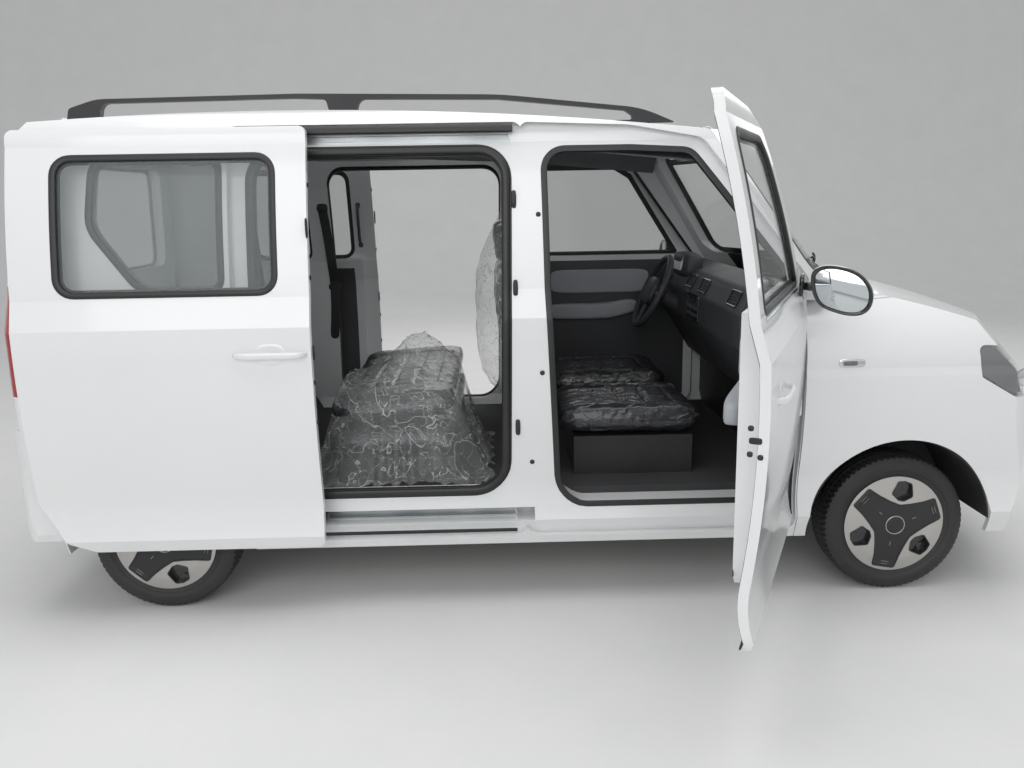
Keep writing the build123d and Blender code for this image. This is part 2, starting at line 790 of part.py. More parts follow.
with BuildPart() as sliding_door_glass:
    add(moved(sliding_pane, -sliding_door_travel, -sliding_door_offset))
    mirror(about=Plane.XZ)
keep("sliding_door_glass", sliding_door_glass.part)

# Nose: bonnet, fenders, bumper and headlamps
seam_low = (front_axle_x + 162.5, 610.0)
seam_mid = (front_axle_x + 190.5, 660.0)
seam_lamp = (nose_x - 407.5, 862.0)
lamp_side = [
    (seam_lamp[0] - 18, 978.0), seam_lamp, (nose_x - 275.5, 784.0), (reach, 800.0), (reach, 968.0),
    (nose_x - 197.5, 968.0),
]
lamp_side_radii = [20, 16, 30, 0, 0, 60]
headlamp_inner_y = 430.0
bonnet_edge_rear = (front_axle_x - 161.5, 716.0)
bonnet_edge_front = (nose_x - 197.5, 655.0)
bonnet_lip_x = nose_x - 113.5
bonnet_outline = [
    (bonnet_edge_rear[0], -bonnet_edge_rear[1]), (bonnet_edge_front[0], -bonnet_edge_front[1]),
    (bonnet_lip_x, -430), (bonnet_lip_x + 26, 0), (bonnet_lip_x, 430),
    (bonnet_edge_front[0], bonnet_edge_front[1]), (bonnet_edge_rear[0], bonnet_edge_rear[1]),
    (bonnet_edge_rear[0] + 48, 400), (bonnet_edge_rear[0] + 76, 0), (bonnet_edge_rear[0] + 48, -400),
]
bonnet_radii = [25, 60, 200, 900, 200, 60, 25, 600, 900, 600]
bonnet_low_z = 930.0
bonnet_front_gap = 14.0
bonnet_tool = plan_prism(bonnet_outline, bonnet_radii, bonnet_low_z, 1400)
lamp_tool = side_prism(lamp_side, lamp_side_radii, -headlamp_inner_y, -1000)
bumper_side = [
    seam_low, seam_mid, seam_lamp, (seam_lamp[0] + 10, 872), (reach, 872), (reach, 100),
    (seam_low[0] - 100, 100), (seam_low[0] - 100, 560), (seam_low[0] - 30, 600),
]


def grown_bonnet(gap):
    """The space that the bonnet needs, with a gap around its outline."""
    with BuildPart(mode=Mode.PRIVATE) as space:
        with BuildSketch(Plane.XY.offset(bonnet_low_z - gap)):
            with BuildLine():
                FilletPolyline(bonnet_outline, radius=bonnet_radii, close=True)
            make_face()
            offset(amount=gap)
        extrude(amount=600)
    return space.part


def lamp_space(gap):
    """The right headlamp's side outline as a prism, with a gap around it."""
    return side_prism(lamp_side, lamp_side_radii, -headlamp_inner_y + gap, -1000, gap)


with BuildPart() as bonnet:
    add(front_shell)
    add(bonnet_tool, mode=Mode.INTERSECT)
    add(lamp_space(panel_gap), mode=Mode.SUBTRACT)
    add(mirrored(lamp_space(panel_gap)), mode=Mode.SUBTRACT)

with BuildPart() as headlamp_right:
    add(front_form.part)
    add(lamp_tool, mode=Mode.INTERSECT)
    add(block(seam_low[0] - 100, nose_x - 257.5, -750, 0, 600, 1100), mode=Mode.SUBTRACT)

with BuildPart() as fender_right:
    add(front_shell)
    add(block(door_front_x + door_gap, reach, -1000, -300, 225, 1240), mode=Mode.INTERSECT)
    add(grown_bonnet(panel_gap), mode=Mode.SUBTRACT)
    add(side_prism(bumper_side, [0] * 9, 0, -1000), mode=Mode.SUBTRACT)
    add(lamp_tool, mode=Mode.SUBTRACT)
    add(wheel_arch(front_axle_x, arch_radius, -300, -1000), mode=Mode.SUBTRACT)
    add(block(bonnet_rear[0], reach, -inner_wall_y + 60, 0, 0, 1300), mode=Mode.SUBTRACT)
    cabin_corner = common(cabin_form.part, block(bonnet_rear[0], cowl_front_x, -900, 0, cowl_low_z, 1400))
    add(cabin_corner, mode=Mode.SUBTRACT)

# Hidden arms under the bonnet's rear edge carry it on pins above the cowl shelf
bonnet_hinge_x = bonnet_edge_rear[0] + 13.0
bonnet_hinge_z = 1175.0
bonnet_hinge_y = 200.0
bonnet_pin_radius = 5.0
bonnet_arm_half = 8.0
bonnet_arm_outline = [
    (bonnet_hinge_x - 12, 1159), (bonnet_hinge_x - 12, 1187), (bonnet_hinge_x + 12, 1187),
    (bonnet_hinge_x + 18, 1168),
    (bonnet_hinge_x + 66, 1168), (bonnet_hinge_x + 66, 1240), (bonnet_hinge_x + 112, 1240),
    (bonnet_hinge_x + 112, 1159),
]
bonnet_arm_radii = [9, 11, 8, 6, 4, 0, 0, 0]
with BuildPart() as bonnet_lid:
    add(bonnet.part)
    for side in (1, -1):
        mid = side * bonnet_hinge_y
        arm = side_prism(bonnet_arm_outline, bonnet_arm_radii, mid + bonnet_arm_half, mid - bonnet_arm_half)
        add(common(front_form.part, arm))
        add(
            rod(
                (bonnet_hinge_x, mid - 20, bonnet_hinge_z), (bonnet_hinge_x, mid + 20, bonnet_hinge_z),
                bonnet_pin_radius + running_clearance,
            ),
            mode=Mode.SUBTRACT,
        )
keep("bonnet", bonnet_lid.part)

# Fenders with the shelf that rests on the upper rails
shelf_z = 980.0
shelf_front_x = seam_low[0] - 20.0
with BuildPart() as fender_with_shelf:
    add(fender_right.part)
    add(common(front_inner.part, block(door_front_x + 50, shelf_front_x, -1000, -700, shelf_z, shelf_z + 5)))
keep("fender_right", fender_with_shelf.part)
keep("fender_left", mirrored(fender_with_shelf.part))

with BuildPart() as headlamps:
    add(headlamp_right.part)
    mirror(about=Plane.XZ)
keep("headlamps", headlamps.part)

# Front bumper with three slots in its lower air intake and two holes for a plate
slot_heights = (305.0, 345.0, 385.0)
slot_height = 30.0
slot_half_width = 430.0
plate_hole_radius = 3.0
plate_hole_spacing = 180.0
plate_hole_z = 590.0
lamp_gap = 2.0
beam_x = nose_x - 152.5
beam_depth = 40.0

with BuildPart() as front_bumper:
    add(front_shell)
    add(side_prism(bumper_side, [0] * 9, 1000, -1000), mode=Mode.INTERSECT)
    lamp_room = headlamp_inner_y - lamp_gap
    add(common(front_shell, block(nose_x - 297.5, reach, -lamp_room, lamp_room, 860, 1100)))
    add(grown_bonnet(bonnet_front_gap), mode=Mode.SUBTRACT)
    add(wheel_arch(front_axle_x, arch_radius, 1000, -1000), mode=Mode.SUBTRACT)
    add(lamp_space(lamp_gap), mode=Mode.SUBTRACT)
    add(mirrored(lamp_space(lamp_gap)), mode=Mode.SUBTRACT)
    for slot_z in slot_heights:
        add(
            block(nose_x - 147.5, reach, -slot_half_width, slot_half_width, slot_z, slot_z + slot_height),
            mode=Mode.SUBTRACT,
        )
    for side in (1, -1):
        rib_y = side * 450
        rib = block(beam_x + beam_depth + seat_gap, reach, rib_y - 20, rib_y + 20, 340, 420)
        add(common(front_form.part, rib))
    with BuildSketch(Plane.YZ.offset(nose_x - 97.5)):
        with Locations((plate_hole_spacing / 2, plate_hole_z), (-plate_hole_spacing / 2, plate_hole_z)):
            Circle(plate_hole_radius)
    extrude(amount=200, mode=Mode.SUBTRACT)
keep("front_bumper", front_bumper.part)

# Rear bumper
tail_bumper_wall = 30.0
tail_bumper_side = [
    (tail_bumper_front, 300), (tail_x + 42.5, 300), (tail_x + 9.5, 380), (tail_x, 520), (tail_x + 7.5, 680),
    (tail_x + 42.5, tail_bumper_top),
    (tail_bumper_front, tail_bumper_top),
]
tail_bumper_radii = [0, 40, 120, 200, 40, 30, 0]
tail_bumper_half = 838.0
tail_bumper_arm_x = tail_x + 497.5
with BuildPart() as rear_bumper:
    add(side_prism(tail_bumper_side, tail_bumper_radii, 1000, -1000))
    extrude(half_section(cabin_rows, 0), amount=reach, both=True, mode=Mode.INTERSECT)
    with BuildSketch(Plane.XY):
        with BuildLine():
            FilletPolyline(
                (tail_x, -tail_bumper_half), (tail_x, tail_bumper_half), (tail_bumper_arm_x, tail_bumper_half),
                (tail_bumper_arm_x, -tail_bumper_half),
                radius=[tail_corner_radius, tail_corner_radius, 0, 0], close=True,
            )
        make_face()
    extrude(amount=1000, mode=Mode.INTERSECT)
    inner_width = tail_bumper_half - tail_bumper_wall
    with BuildSketch(Plane.XY.offset(200)):
        with BuildLine():
            FilletPolyline(
                (tail_x + tail_bumper_wall, -inner_width), (tail_x + tail_bumper_wall, inner_width),
                (tail_bumper_arm_x, inner_width), (tail_bumper_arm_x, -inner_width),
                radius=[tail_corner_radius - 20, tail_corner_radius - 20, 0, 0], close=True,
            )
        make_face()
    extrude(amount=tail_bumper_top - tail_bumper_wall - 200, mode=Mode.SUBTRACT)
    add(block(tail_x + 103.5, tail_bumper_arm_x, -720, 720, 200, 1000), mode=Mode.SUBTRACT)
keep("rear_bumper", rear_bumper.part)

# Front floor, and the cargo floor with its wheelhouses and rear panel
floor_low_z = 385.0
floor_split_x = rear_axle_x + 572.5
rear_panel_x = tail_x + 115.5
rear_panel_wall = 20.0
house_inner_y = 540.0
house_wall = 8.0


def ring(axle_x, inner, outer, y_from, y_to):
    """A round band about an axle, across the vehicle."""
    return cut(wheel_arch(axle_x, outer, y_from, y_to), wheel_arch(axle_x, inner, y_from + 1, y_to - 1))


with BuildPart() as floor_pan:
    add(block(floor_split_x, floor_front_x, -sill_inner_y, sill_inner_y, floor_low_z, floor_top_z))
    for side in (1, -1):
        edge = side * (sill_inner_y - 5)
        add(block(floor_split_x, floor_front_x, edge - 5, edge + 5, 290, floor_top_z))
keep("floor_pan", floor_pan.part)

with BuildPart() as rear_floor:
    add(block(rear_panel_x, floor_split_x, -sill_inner_y, sill_inner_y, floor_low_z, floor_top_z))
    for side in (1, -1):
        edge = side * (sill_inner_y - 5)
        add(block(rear_axle_x + 382.5, floor_split_x, edge - 5, edge + 5, 290, floor_top_z))
    panel_high_z = gate_sill_z - panel_gap
    add(block(rear_panel_x, rear_panel_x + rear_panel_wall, -sill_inner_y, sill_inner_y, 330, panel_high_z))
    for side in (1, -1):
        near = side * house_inner_y
        far = side * sill_inner_y
        add(wheel_arch(rear_axle_x, arch_radius, max(near, far), min(near, far)), mode=Mode.SUBTRACT)
        house = ring(rear_axle_x, arch_radius, arch_radius + house_wall, max(near, far), min(near, far))
        inner = near - side * house_wall
        wall = wheel_arch(rear_axle_x, arch_radius + house_wall, max(near, inner), min(near, inner))
        add(common(joined(house, wall), block(-reach, rear_axle_x + 462.5, -900, 900, floor_low_z, 900)))
keep("rear_floor", rear_floor.part)

# Bulkhead with the cowl shelf below the windscreen
bulkhead_wall = 26.0
bulkhead_half = 785.0
cowl_wall = 22.0
with BuildPart() as bulkhead:
    add(
        common(
            block(floor_front_x, floor_front_x + bulkhead_wall, -bulkhead_half, bulkhead_half, 330, cowl_low_z),
            front_inner.part,
        )
    )
    shelf = block(floor_front_x, bonnet_edge_rear[0] - 11, -735, 735, cowl_low_z - cowl_wall, cowl_low_z)
    add(common(shelf, front_inner.part))
    foot = block(bonnet_rear[0], cowl_front_x, -roof_seam_y, roof_seam_y, cowl_low_z - cowl_wall, 1300)
    add(common(cabin_shell, foot))
    add(screen_hole, mode=Mode.SUBTRACT)
    for side in (1, -1):
        mid = side * bonnet_hinge_y
        room = bonnet_arm_half + 12
        arm_room = block(bonnet_hinge_x - 39, bonnet_hinge_x + 211, mid - room, mid + room, cowl_low_z, 1228)
        add(arm_room, mode=Mode.SUBTRACT)
        for lug in (-bonnet_arm_half - 12, bonnet_arm_half + 4):
            lug_low_z = cowl_low_z - cowl_wall
            add(block(bonnet_hinge_x - 12, bonnet_hinge_x + 12, mid + lug, mid + lug + 8, lug_low_z, 1186))
        add(
            rod(
                (bonnet_hinge_x, mid - bonnet_arm_half - 10, bonnet_hinge_z),
                (bonnet_hinge_x, mid + bonnet_arm_half + 10, bonnet_hinge_z), bonnet_pin_radius,
            )
        )
keep("bulkhead", bulkhead.part)

# Front frame: rails, cross beam, wheel liners and strut towers
rail_inner_y = 380.0
rail_outer_y = 440.0
rail_low_z = 330.0
rail_high_z = 430.0
liner_radius = arch_radius - 6
tower_half_x = 95.0
tower_low_z = 560.0
tow_eye = (beam_x + beam_depth, 300.0, 360.0)
tow_eye_radius = 8.0
tow_eye_depth = 45.0


def kingpin_point(z):
    """The point of the right kingpin axis at a height."""
    share = (z - kingpin_low[1]) / (kingpin_top[1] - kingpin_low[1])
    return (front_axle_x, -(kingpin_low[0] + share * (kingpin_top[0] - kingpin_low[0])), z)


top_pin_radius = 8.0
ball_pin_radius = 10.0
tower_wall = 10.0
with BuildPart() as front_side_right:
    rail_rear = floor_front_x + bulkhead_wall
    add(block(rail_rear, beam_x + beam_depth, -rail_outer_y, -rail_inner_y, rail_low_z, rail_high_z))
    add(block(rail_rear, front_axle_x + 362.5, -rail_outer_y - 5, -rail_outer_y, rail_low_z, 840))
    liner = ring(front_axle_x, liner_radius, liner_radius + liner_wall, -rail_outer_y, -808)
    add(common(liner, block(front_axle_x - 437.5, front_axle_x + 462.5, -900, 0, 300, 900)))
    add(
        cut(
            block(
                front_axle_x - tower_half_x, front_axle_x + tower_half_x, -672, -rail_outer_y,
                tower_low_z, kingpin_top[1],
            ),
            block(
                front_axle_x - tower_half_x + tower_wall, front_axle_x + tower_half_x - tower_wall,
                -672 + tower_wall, -rail_outer_y - 5, tower_low_z - 5, kingpin_top[1] - tower_wall,
            ),
            wheel_arch(front_axle_x, liner_radius + liner_wall, -300, -900),
        )
    )
    add(block(front_axle_x - 78, front_axle_x + 78, -655, -rail_outer_y - 8, 500, 700), mode=Mode.SUBTRACT)
    add(rod(kingpin_point(760), kingpin_point(820), top_pin_radius + running_clearance), mode=Mode.SUBTRACT)

with BuildPart() as front_frame:
    add(front_side_right.part)
    add(block(floor_front_x + bulkhead_wall, shelf_front_x, -740, -705, shelf_z - 40, shelf_z - seat_gap))
    add(block(front_axle_x - 60, front_axle_x + 60, -740, -620, shelf_z - 190, shelf_z - 150))
    add(block(front_axle_x - 60, front_axle_x + 60, -740, -715, shelf_z - 190, shelf_z - 40))
    mirror(about=Plane.XZ)
    add(block(beam_x, beam_x + beam_depth, -460, 460, rail_low_z, rail_high_z))
    add(block(beam_x, beam_x + 20, -400, 400, 850, 880))
    for side in (1, -1):
        add(block(beam_x, beam_x + 20, side * 390 - 20, side * 390 + 20, rail_high_z, 880))
    with BuildSketch(Plane.YZ.offset(tow_eye[0] + 5)):
        with Locations((tow_eye[1], tow_eye[2])):
            Circle(tow_eye_radius)
    extrude(amount=-tow_eye_depth - 5, mode=Mode.SUBTRACT)
keep("front_frame", front_frame.part)

# Front suspension: subframe and lower arms
arm_low_z = 182.0
arm_high_z = 204.0
with BuildPart() as front_suspension:
    add(block(front_axle_x - 150, front_axle_x + 150, -330, 330, 170, 232))
    for side in (1, -1):
        add(
            plan_prism(
                [
                    (front_axle_x - 110, side * 325), (front_axle_x + 110, side * 325),
                    (front_axle_x + 26, side * 690), (front_axle_x - 26, side * 690),
                ],
                [0, 0, 24, 24], arm_low_z, arm_high_z,
            )
        )
        for post_x in (front_axle_x - 95, front_axle_x + 95):
            add(block(post_x - 20, post_x + 20, side * 400 - 25, side * 400 + 25, 185, rail_low_z))
    for side in (1, -1):
        socket = rod(kingpin_point(170), kingpin_point(220), ball_pin_radius + running_clearance)
        add(socket if side > 0 else mirrored(socket), mode=Mode.SUBTRACT)
keep("front_suspension", front_suspension.part)

# Steering knuckle with its spindle, strut and pins
spindle_end_y = wheel_y + 30
strut_low = (front_axle_x, -606.0, 318.0)
strut_high = (front_axle_x, -563.0, 765.0)
strut_radius = 22.0
coil_radius = 54.0
coil_count = 5
coil_pitch = 27.0
with BuildPart() as knuckle:
    add(block(front_axle_x - 30, front_axle_x + 30, -672, -640, 214, 345))
    add(rod((front_axle_x, -641, tyre_radius), (front_axle_x, -spindle_end_y, tyre_radius), spindle_radius))
    add(block(front_axle_x - 26, front_axle_x + 26, -645, -585, 300, 345))
    add(rod(strut_low, strut_high, strut_radius))
    add(rod(kingpin_point(762), kingpin_point(792), top_pin_radius))
    add(rod(kingpin_point(184), kingpin_point(222), ball_pin_radius))
    direction = (Vector(strut_high) - Vector(strut_low)).normalized()
    for coil in range(coil_count):
        start = Vector(strut_low) + direction * (312 + coil * coil_pitch)
        add(rod(start, start + direction * 13, coil_radius))
    add(rod(Vector(strut_low) + direction * 300, Vector(strut_low) + direction * 312, coil_radius + 4))
keep("knuckle_right", knuckle.part)
keep("knuckle_left", mirrored(knuckle.part))

# Rear axle with leaf springs
leaf_y = 480.0
leaf_half = 395.0
with BuildPart() as rear_axle:
    add(rod((rear_axle_x, -612, tyre_radius), (rear_axle_x, 612, tyre_radius), 34))
    for side in (1, -1):
        add(rod((rear_axle_x, side * 560, tyre_radius), (rear_axle_x, side * 618, tyre_radius), 108))
        spindle_start = (rear_axle_x, side * 617, tyre_radius)
        add(rod(spindle_start, (rear_axle_x, side * spindle_end_y, tyre_radius), spindle_radius))
        with BuildSketch(Plane.XZ.offset(-side * leaf_y - 32)):
            with BuildLine():
                low = ThreePointArc(
                    (rear_axle_x - leaf_half, 345), (rear_axle_x, 300), (rear_axle_x + leaf_half, 345)
                )
                Line(low @ 1, (rear_axle_x + leaf_half, floor_low_z))
                Line((rear_axle_x + leaf_half, floor_low_z), (rear_axle_x + leaf_half - 30, floor_low_z))
                Line((rear_axle_x + leaf_half - 30, floor_low_z), (rear_axle_x + leaf_half - 30, 362))
                high = ThreePointArc(
                    (rear_axle_x + leaf_half - 30, 362), (rear_axle_x, 322), (rear_axle_x - leaf_half + 30, 362)
                )
                Line(high @ 1, (rear_axle_x - leaf_half + 30, floor_low_z))
                Line((rear_axle_x - leaf_half + 30, floor_low_z), (rear_axle_x - leaf_half, floor_low_z))
                Line((rear_axle_x - leaf_half, floor_low_z), low @ 0)
            make_face()
        extrude(amount=64)
keep("rear_axle", rear_axle.part)

# Heavy masses under the floor and the bonnet
battery_low_z = 205.0
with BuildPart() as battery_pack:
    add(block(rear_axle_x + 482.5, front_axle_x - 477.5, -560, 560, battery_low_z, floor_low_z))
    chamfer(battery_pack.edges().group_by(Axis.Z)[0], 25)
keep("battery_pack", battery_pack.part)

motor_z = 430.0
with BuildPart() as drive_unit:
    add(rod((front_axle_x, -250, motor_z), (front_axle_x, 250, motor_z), 130))
    add(block(front_axle_x - 160, front_axle_x + 160, -260, 260, 540, 730))
    add(block(front_axle_x - 40, front_axle_x + 40, -rail_inner_y, rail_inner_y, 380, 430))
    add(block(front_axle_x - 70, front_axle_x + 70, 120, 240, 238, 430))
    add(rod((front_axle_x, -600, tyre_radius), (front_axle_x, 600, tyre_radius), 13))
keep("drive_unit", drive_unit.part)

# Seats
seat_y = 345.0
seat_half = 240.0
seat_x = door_front_x - 994.0
cushion_low_z = 585.0
cushion_high_z = 715.0
with BuildPart() as front_seats:
    for side in (1, -1):
        mid = side * seat_y
        add(block(seat_x + 120, seat_x + 700, mid - seat_half, mid + seat_half, cushion_low_z, cushion_high_z))
        add(
            side_prism(
                [(seat_x + 10, 600), (seat_x + 132, 640), (seat_x + 20, 1265), (seat_x - 90, 1245)],
                [20, 20, 40, 40], mid + seat_half, mid - seat_half,
            )
        )
        headrest = [(seat_x - 90, 1275), (seat_x - 2, 1290), (seat_x - 32, 1440), (seat_x - 112, 1425)]
        add(side_prism(headrest, [20, 20, 30, 30], mid + 125, mid - 125))
        for post in (-60, 60):
            add(rod((seat_x - 35, mid + post, 1240), (seat_x - 58, mid + post, 1300), 7))
keep("front_seats", front_seats.part)

bench_x = rear_axle_x + 592.5
bench_low_z = 520.0
with BuildPart() as seat_frames:
    for side in (1, -1):
        mid = side * seat_y
        add(block(seat_x + 180, seat_x + 660, mid - 200, mid + 200, floor_top_z, cushion_low_z - seat_gap))
    add(block(bench_x + 30, bench_x + 510, -560, 560, floor_top_z, bench_low_z))
keep("seat_frames", seat_frames.part)

with BuildPart() as rear_bench:
    add(block(bench_x, bench_x + 530, -610, 610, bench_low_z + seat_gap, 660))
    bench_back = [(bench_x, 640), (bench_x + 120, 640), (bench_x + 170, 1150), (bench_x + 60, 1160)]
    add(side_prism(bench_back, [20, 20, 40, 40], 610, -610))
keep("rear_bench", rear_bench.part)

# Dashboard with the steering column's bearing
wheel_centre = (floor_front_x - 342.0, 370.0, 1065.0)
dash_front_x = floor_front_x - seat_gap
column_tilt = 26.0
shaft_radius = 12.0
rim_radius = 182.0
column_axis = Vector(cos(radians(column_tilt)), 0, -sin(radians(column_tilt)))


def on_column(distance):
    """A point on the steering column's axis, ahead of the steering wheel's centre."""
    return Vector(*wheel_centre) + column_axis * distance


with BuildPart() as dashboard:
    add(
        side_prism(
            [
                (dash_front_x, 1196), (dash_front_x, 720), (dash_front_x - 62, 700), (dash_front_x - 152, 850),
                (dash_front_x - 222, 960), (dash_front_x - 226, 1090), (dash_front_x - 182, 1180),
            ],
            [0, 0, 30, 60, 50, 40, 50], 735, -735,
        )
    )
    add(rod(on_column(60), on_column(230), 42))
    add(rod(on_column(50), on_column(150), shaft_radius + running_clearance), mode=Mode.SUBTRACT)
keep("dashboard", dashboard.part)

wheel_up = Vector(0, 1, 0).cross(column_axis) * -1
wheel_side = (wheel_up + Vector(0, 1, 0)).normalized()
wheel_plane = Plane(origin=Vector(*wheel_centre), x_dir=wheel_side, z_dir=column_axis.cross(wheel_side))
with BuildPart() as steering_wheel:
    with BuildSketch(wheel_plane):
        with Locations((rim_radius, 0)):
            Circle(15)
    revolve(axis=Axis(Vector(*wheel_centre), column_axis))
    add(rod(on_column(-18), on_column(40), 50))
    add(rod(on_column(30), on_column(140), shaft_radius))
    for spoke in (Vector(0, 1, 0), Vector(0, -1, 0), wheel_up * (-1 if wheel_up.Z > 0 else 1)):
        add(rod(Vector(*wheel_centre), Vector(*wheel_centre) + spoke * (rim_radius - 3), 11))
keep("steering_wheel", steering_wheel.part)

# Roof rails: a bar on three feet, following the roof
rail_y = 603.0
rail_half = 15.0
rail_rear_x = tail_x + 282.5
rail_front_x = roof_front[0] - 285.0
rail_foot_x = (rail_rear_x + rail_front_x) / 2 - 105.0
roof_rail_outline = [
    (rail_rear_x, 1800), (rail_rear_x + 15, 1868), (rail_rear_x + 115, 1899), (rail_rear_x + 840, 1908),
    (rail_front_x - 637, 1895), (rail_front_x - 125, 1842), (rail_front_x, 1790), (rail_front_x, 1760),
]
roof_rail_radii = [0, 20, 200, 2500, 1500, 400, 20, 0]
rail_windows = [
    [
        (rail_rear_x + 115, 1800), (rail_rear_x + 135, 1884), (rail_rear_x + 815, 1892),
        (rail_foot_x - 60, 1888), (rail_foot_x - 40, 1800),
    ],
    [
        (rail_foot_x + 40, 1800), (rail_foot_x + 60, 1886), (rail_front_x - 645, 1878),
        (rail_front_x - 185, 1833), (rail_front_x - 135, 1800),
    ],
]
with BuildPart() as roof_rails:
    add(side_prism(roof_rail_outline, roof_rail_radii, -rail_y + rail_half, -rail_y - rail_half))
    for window in rail_windows:
        add(side_prism(window, [10, 30, 200, 20, 10], -500, -700), mode=Mode.SUBTRACT)
    add(moved(cabin_form.part, 0, 0, seat_gap), mode=Mode.SUBTRACT)
    add(block(-reach, reach, -700, -500, 1500, 1790), mode=Mode.SUBTRACT)
    mirror(about=Plane.XZ)
keep("roof_rails", roof_rails.part)

# Sliding-door tracks with the roller carriages that carry the doors
door_front_open = door_split_x - door_gap / 2 - sliding_door_travel
door_rear_open = door_front_open - sliding_door_length
with BuildPart() as door_tracks:
    add(block(upper_track[0], upper_track[1], -660, -630, upper_track_z[0], upper_track_z[1] - seat_gap))
    add(
        block(upper_track[0] - 1, upper_track[1] - 6, -700, -639, upper_track_z[0] + 8, upper_track_z[1] - 8),
        mode=Mode.SUBTRACT,
    )
    lower_inner_y = -sill_inner_y - seat_gap
    add(block(lower_track[0], lower_track[1], -736, lower_inner_y, lower_track_z[0], lower_track_z[1]))
    add(
        block(lower_track[0] - 1, lower_track[1] - 8, -740, -699, lower_track_z[0] + 6, lower_track_z[1] - 6),
        mode=Mode.SUBTRACT,
    )
    add(
        block(
            track_rear_x + seat_gap, track_front_x - seat_gap, -shoulder_low[0] + 8,
            -shoulder_low[0] + track_depth - seat_gap,
            track_z - track_height / 2 + seat_gap, track_z + track_height / 2 - seat_gap,
        )
    )
    add(
        block(
            track_rear_x + 8, track_front_x - 8, -1000, -shoulder_low[0] + track_depth - 5,
            track_z - 6, track_z + 6,
        ),
        mode=Mode.SUBTRACT,
    )
    mirror(about=Plane.XZ)
keep("door_tracks", door_tracks.part)

roller_radius = 9.0
with BuildPart() as door_rollers:
    upper_x = door_front_open - 60
    add(rod((upper_x, -650, upper_track_z[0] + 9), (upper_x, -650, upper_track_z[0] + 27), roller_radius))
    add(block(upper_x - 12, upper_x + 12, -762, -646, upper_track_z[0] + 15, upper_track_z[0] + 21))
    lower_x = door_front_open - 22
    lower_mid = sum(lower_track_z) / 2
    roller_low = lower_track_z[0] + 6 + seat_gap
    add(rod((lower_x, -718, roller_low), (lower_x, -718, roller_low + 24), 13))
    add(block(lower_x - 28, lower_x + 8, -888, -722, lower_mid - 6, lower_mid + 6))
    mid_x = door_rear_open + 60
    mid_y = -shoulder_low[0] + 16
    add(rod((mid_x, mid_y, track_z - 6 + seat_gap), (mid_x, mid_y, track_z + 5), 8))
    add(block(mid_x - 25, mid_x + 25, -895, -shoulder_low[0] + 12, track_z - 4, track_z + 4))
    add(sliding_door_right, mode=Mode.SUBTRACT)
    mirror(about=Plane.XZ)
keep("door_rollers", door_rollers.part)

# Wheels with their covers, and the tyres
wheel_table = (
    ("front_right", front_axle_x, -1, 80.0),
    ("front_left", front_axle_x, 1, 80.0),
    ("rear_right", rear_axle_x, -1, 48.0),
    ("rear_left", rear_axle_x, 1, 48.0),
)
cover_hole = [(98, -11), (120, -42), (170, -28), (176, 0), (170, 28), (120, 42), (98, 11)]
cover_profile = [
    (0, -4), (60, -3), (150, 1), (cover_radius, 7), (cover_radius - 2, 11), (bead_radius - seat_gap, 12),
    (bead_radius - seat_gap, 155), (bead_radius - 14, 155), (bead_radius - 14, 54), (62, 54), (62, 100),
    (spindle_radius + running_clearance, 100), (spindle_radius + running_clearance, 44), (bead_radius - 14, 44),
    (bead_radius - 14, 12), (150, 7), (60, 3), (0, 2),
]
tyre_profile = [(bead_radius, 14), (201, 10), (228, 0), (256, 7), (270, 17), (272, 34)]


def wheel_part(spin):
    """A wheel with its cover, the outer face on the XZ plane and the axle along Y."""
    with BuildPart(mode=Mode.PRIVATE) as wheel:
        with BuildSketch(Plane.XY):
            with BuildLine():
                Polyline(*cover_profile, close=True)
            make_face()
        revolve(axis=Axis.Y)
        for turn in range(3):
            with BuildSketch(Plane.XZ.offset(20).rotated((0, -spin - 120 * turn, 0))):
                with BuildLine():
                    FilletPolyline(*cover_hole, radius=8, close=True)
                make_face()
            extrude(amount=-50, mode=Mode.SUBTRACT)
    return wheel.part


def tyre_part():
    """A tyre about the Y axis, its outer sidewall touching the XZ plane."""
    with BuildPart(mode=Mode.PRIVATE) as tyre:
        with BuildSketch(Plane.XY):
            with BuildLine():
                bead, low, bulge, high, shoulder, tread = tyre_profile
                Line(bead, low)
                ThreePointArc(low, bulge, high)
                Line(high, shoulder)
                Line(shoulder, tread)
                Line(tread, (tread[0], tyre_width - tread[1]))
                Line((tread[0], tyre_width - tread[1]), (shoulder[0], tyre_width - shoulder[1]))
                Line((shoulder[0], tyre_width - shoulder[1]), (high[0], tyre_width - high[1]))
                ThreePointArc(
                    (high[0], tyre_width - high[1]), (bulge[0], tyre_width - bulge[1]),
                    (low[0], tyre_width - low[1]),
                )
                Line((low[0], tyre_width - low[1]), (bead[0], tyre_width - bead[1]))
                Line((bead[0], tyre_width - bead[1]), bead)
            make_face()
        revolve(axis=Axis.Y)
    return tyre.part


for name, axle_x, side, spin in wheel_table:
    wheel_piece = moved(wheel_part(spin), axle_x, -wheel_face_y, tyre_radius)
    tyre_piece = moved(tyre_part(), axle_x, -wheel_face_y, tyre_radius)
    keep("wheel_" + name, wheel_piece if side < 0 else mirrored(wheel_piece))
    keep("tyre_" + name, tyre_piece if side < 0 else mirrored(tyre_piece))

# The origin is the middle of the whole vehicle as it stands, with the right door open
extent = [part.bounding_box() for part in parts.values()]
shift_y = -(min(box.min.Y for box in extent) + max(box.max.Y for box in extent)) / 2

os.makedirs("parts", exist_ok=True)
for name, part in parts.items():
    placed = moved(part, 0, shift_y, 0)
    placed.label = name
    export_step(placed, "parts/" + name + ".step")
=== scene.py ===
"""Looks of the white electric minivan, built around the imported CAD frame.

Shapes are worked out in millimetres about the van's centreline, as arrays of
(forward, outward, upward) points, and go to the row frame in metres at the end.
"""
from __future__ import annotations

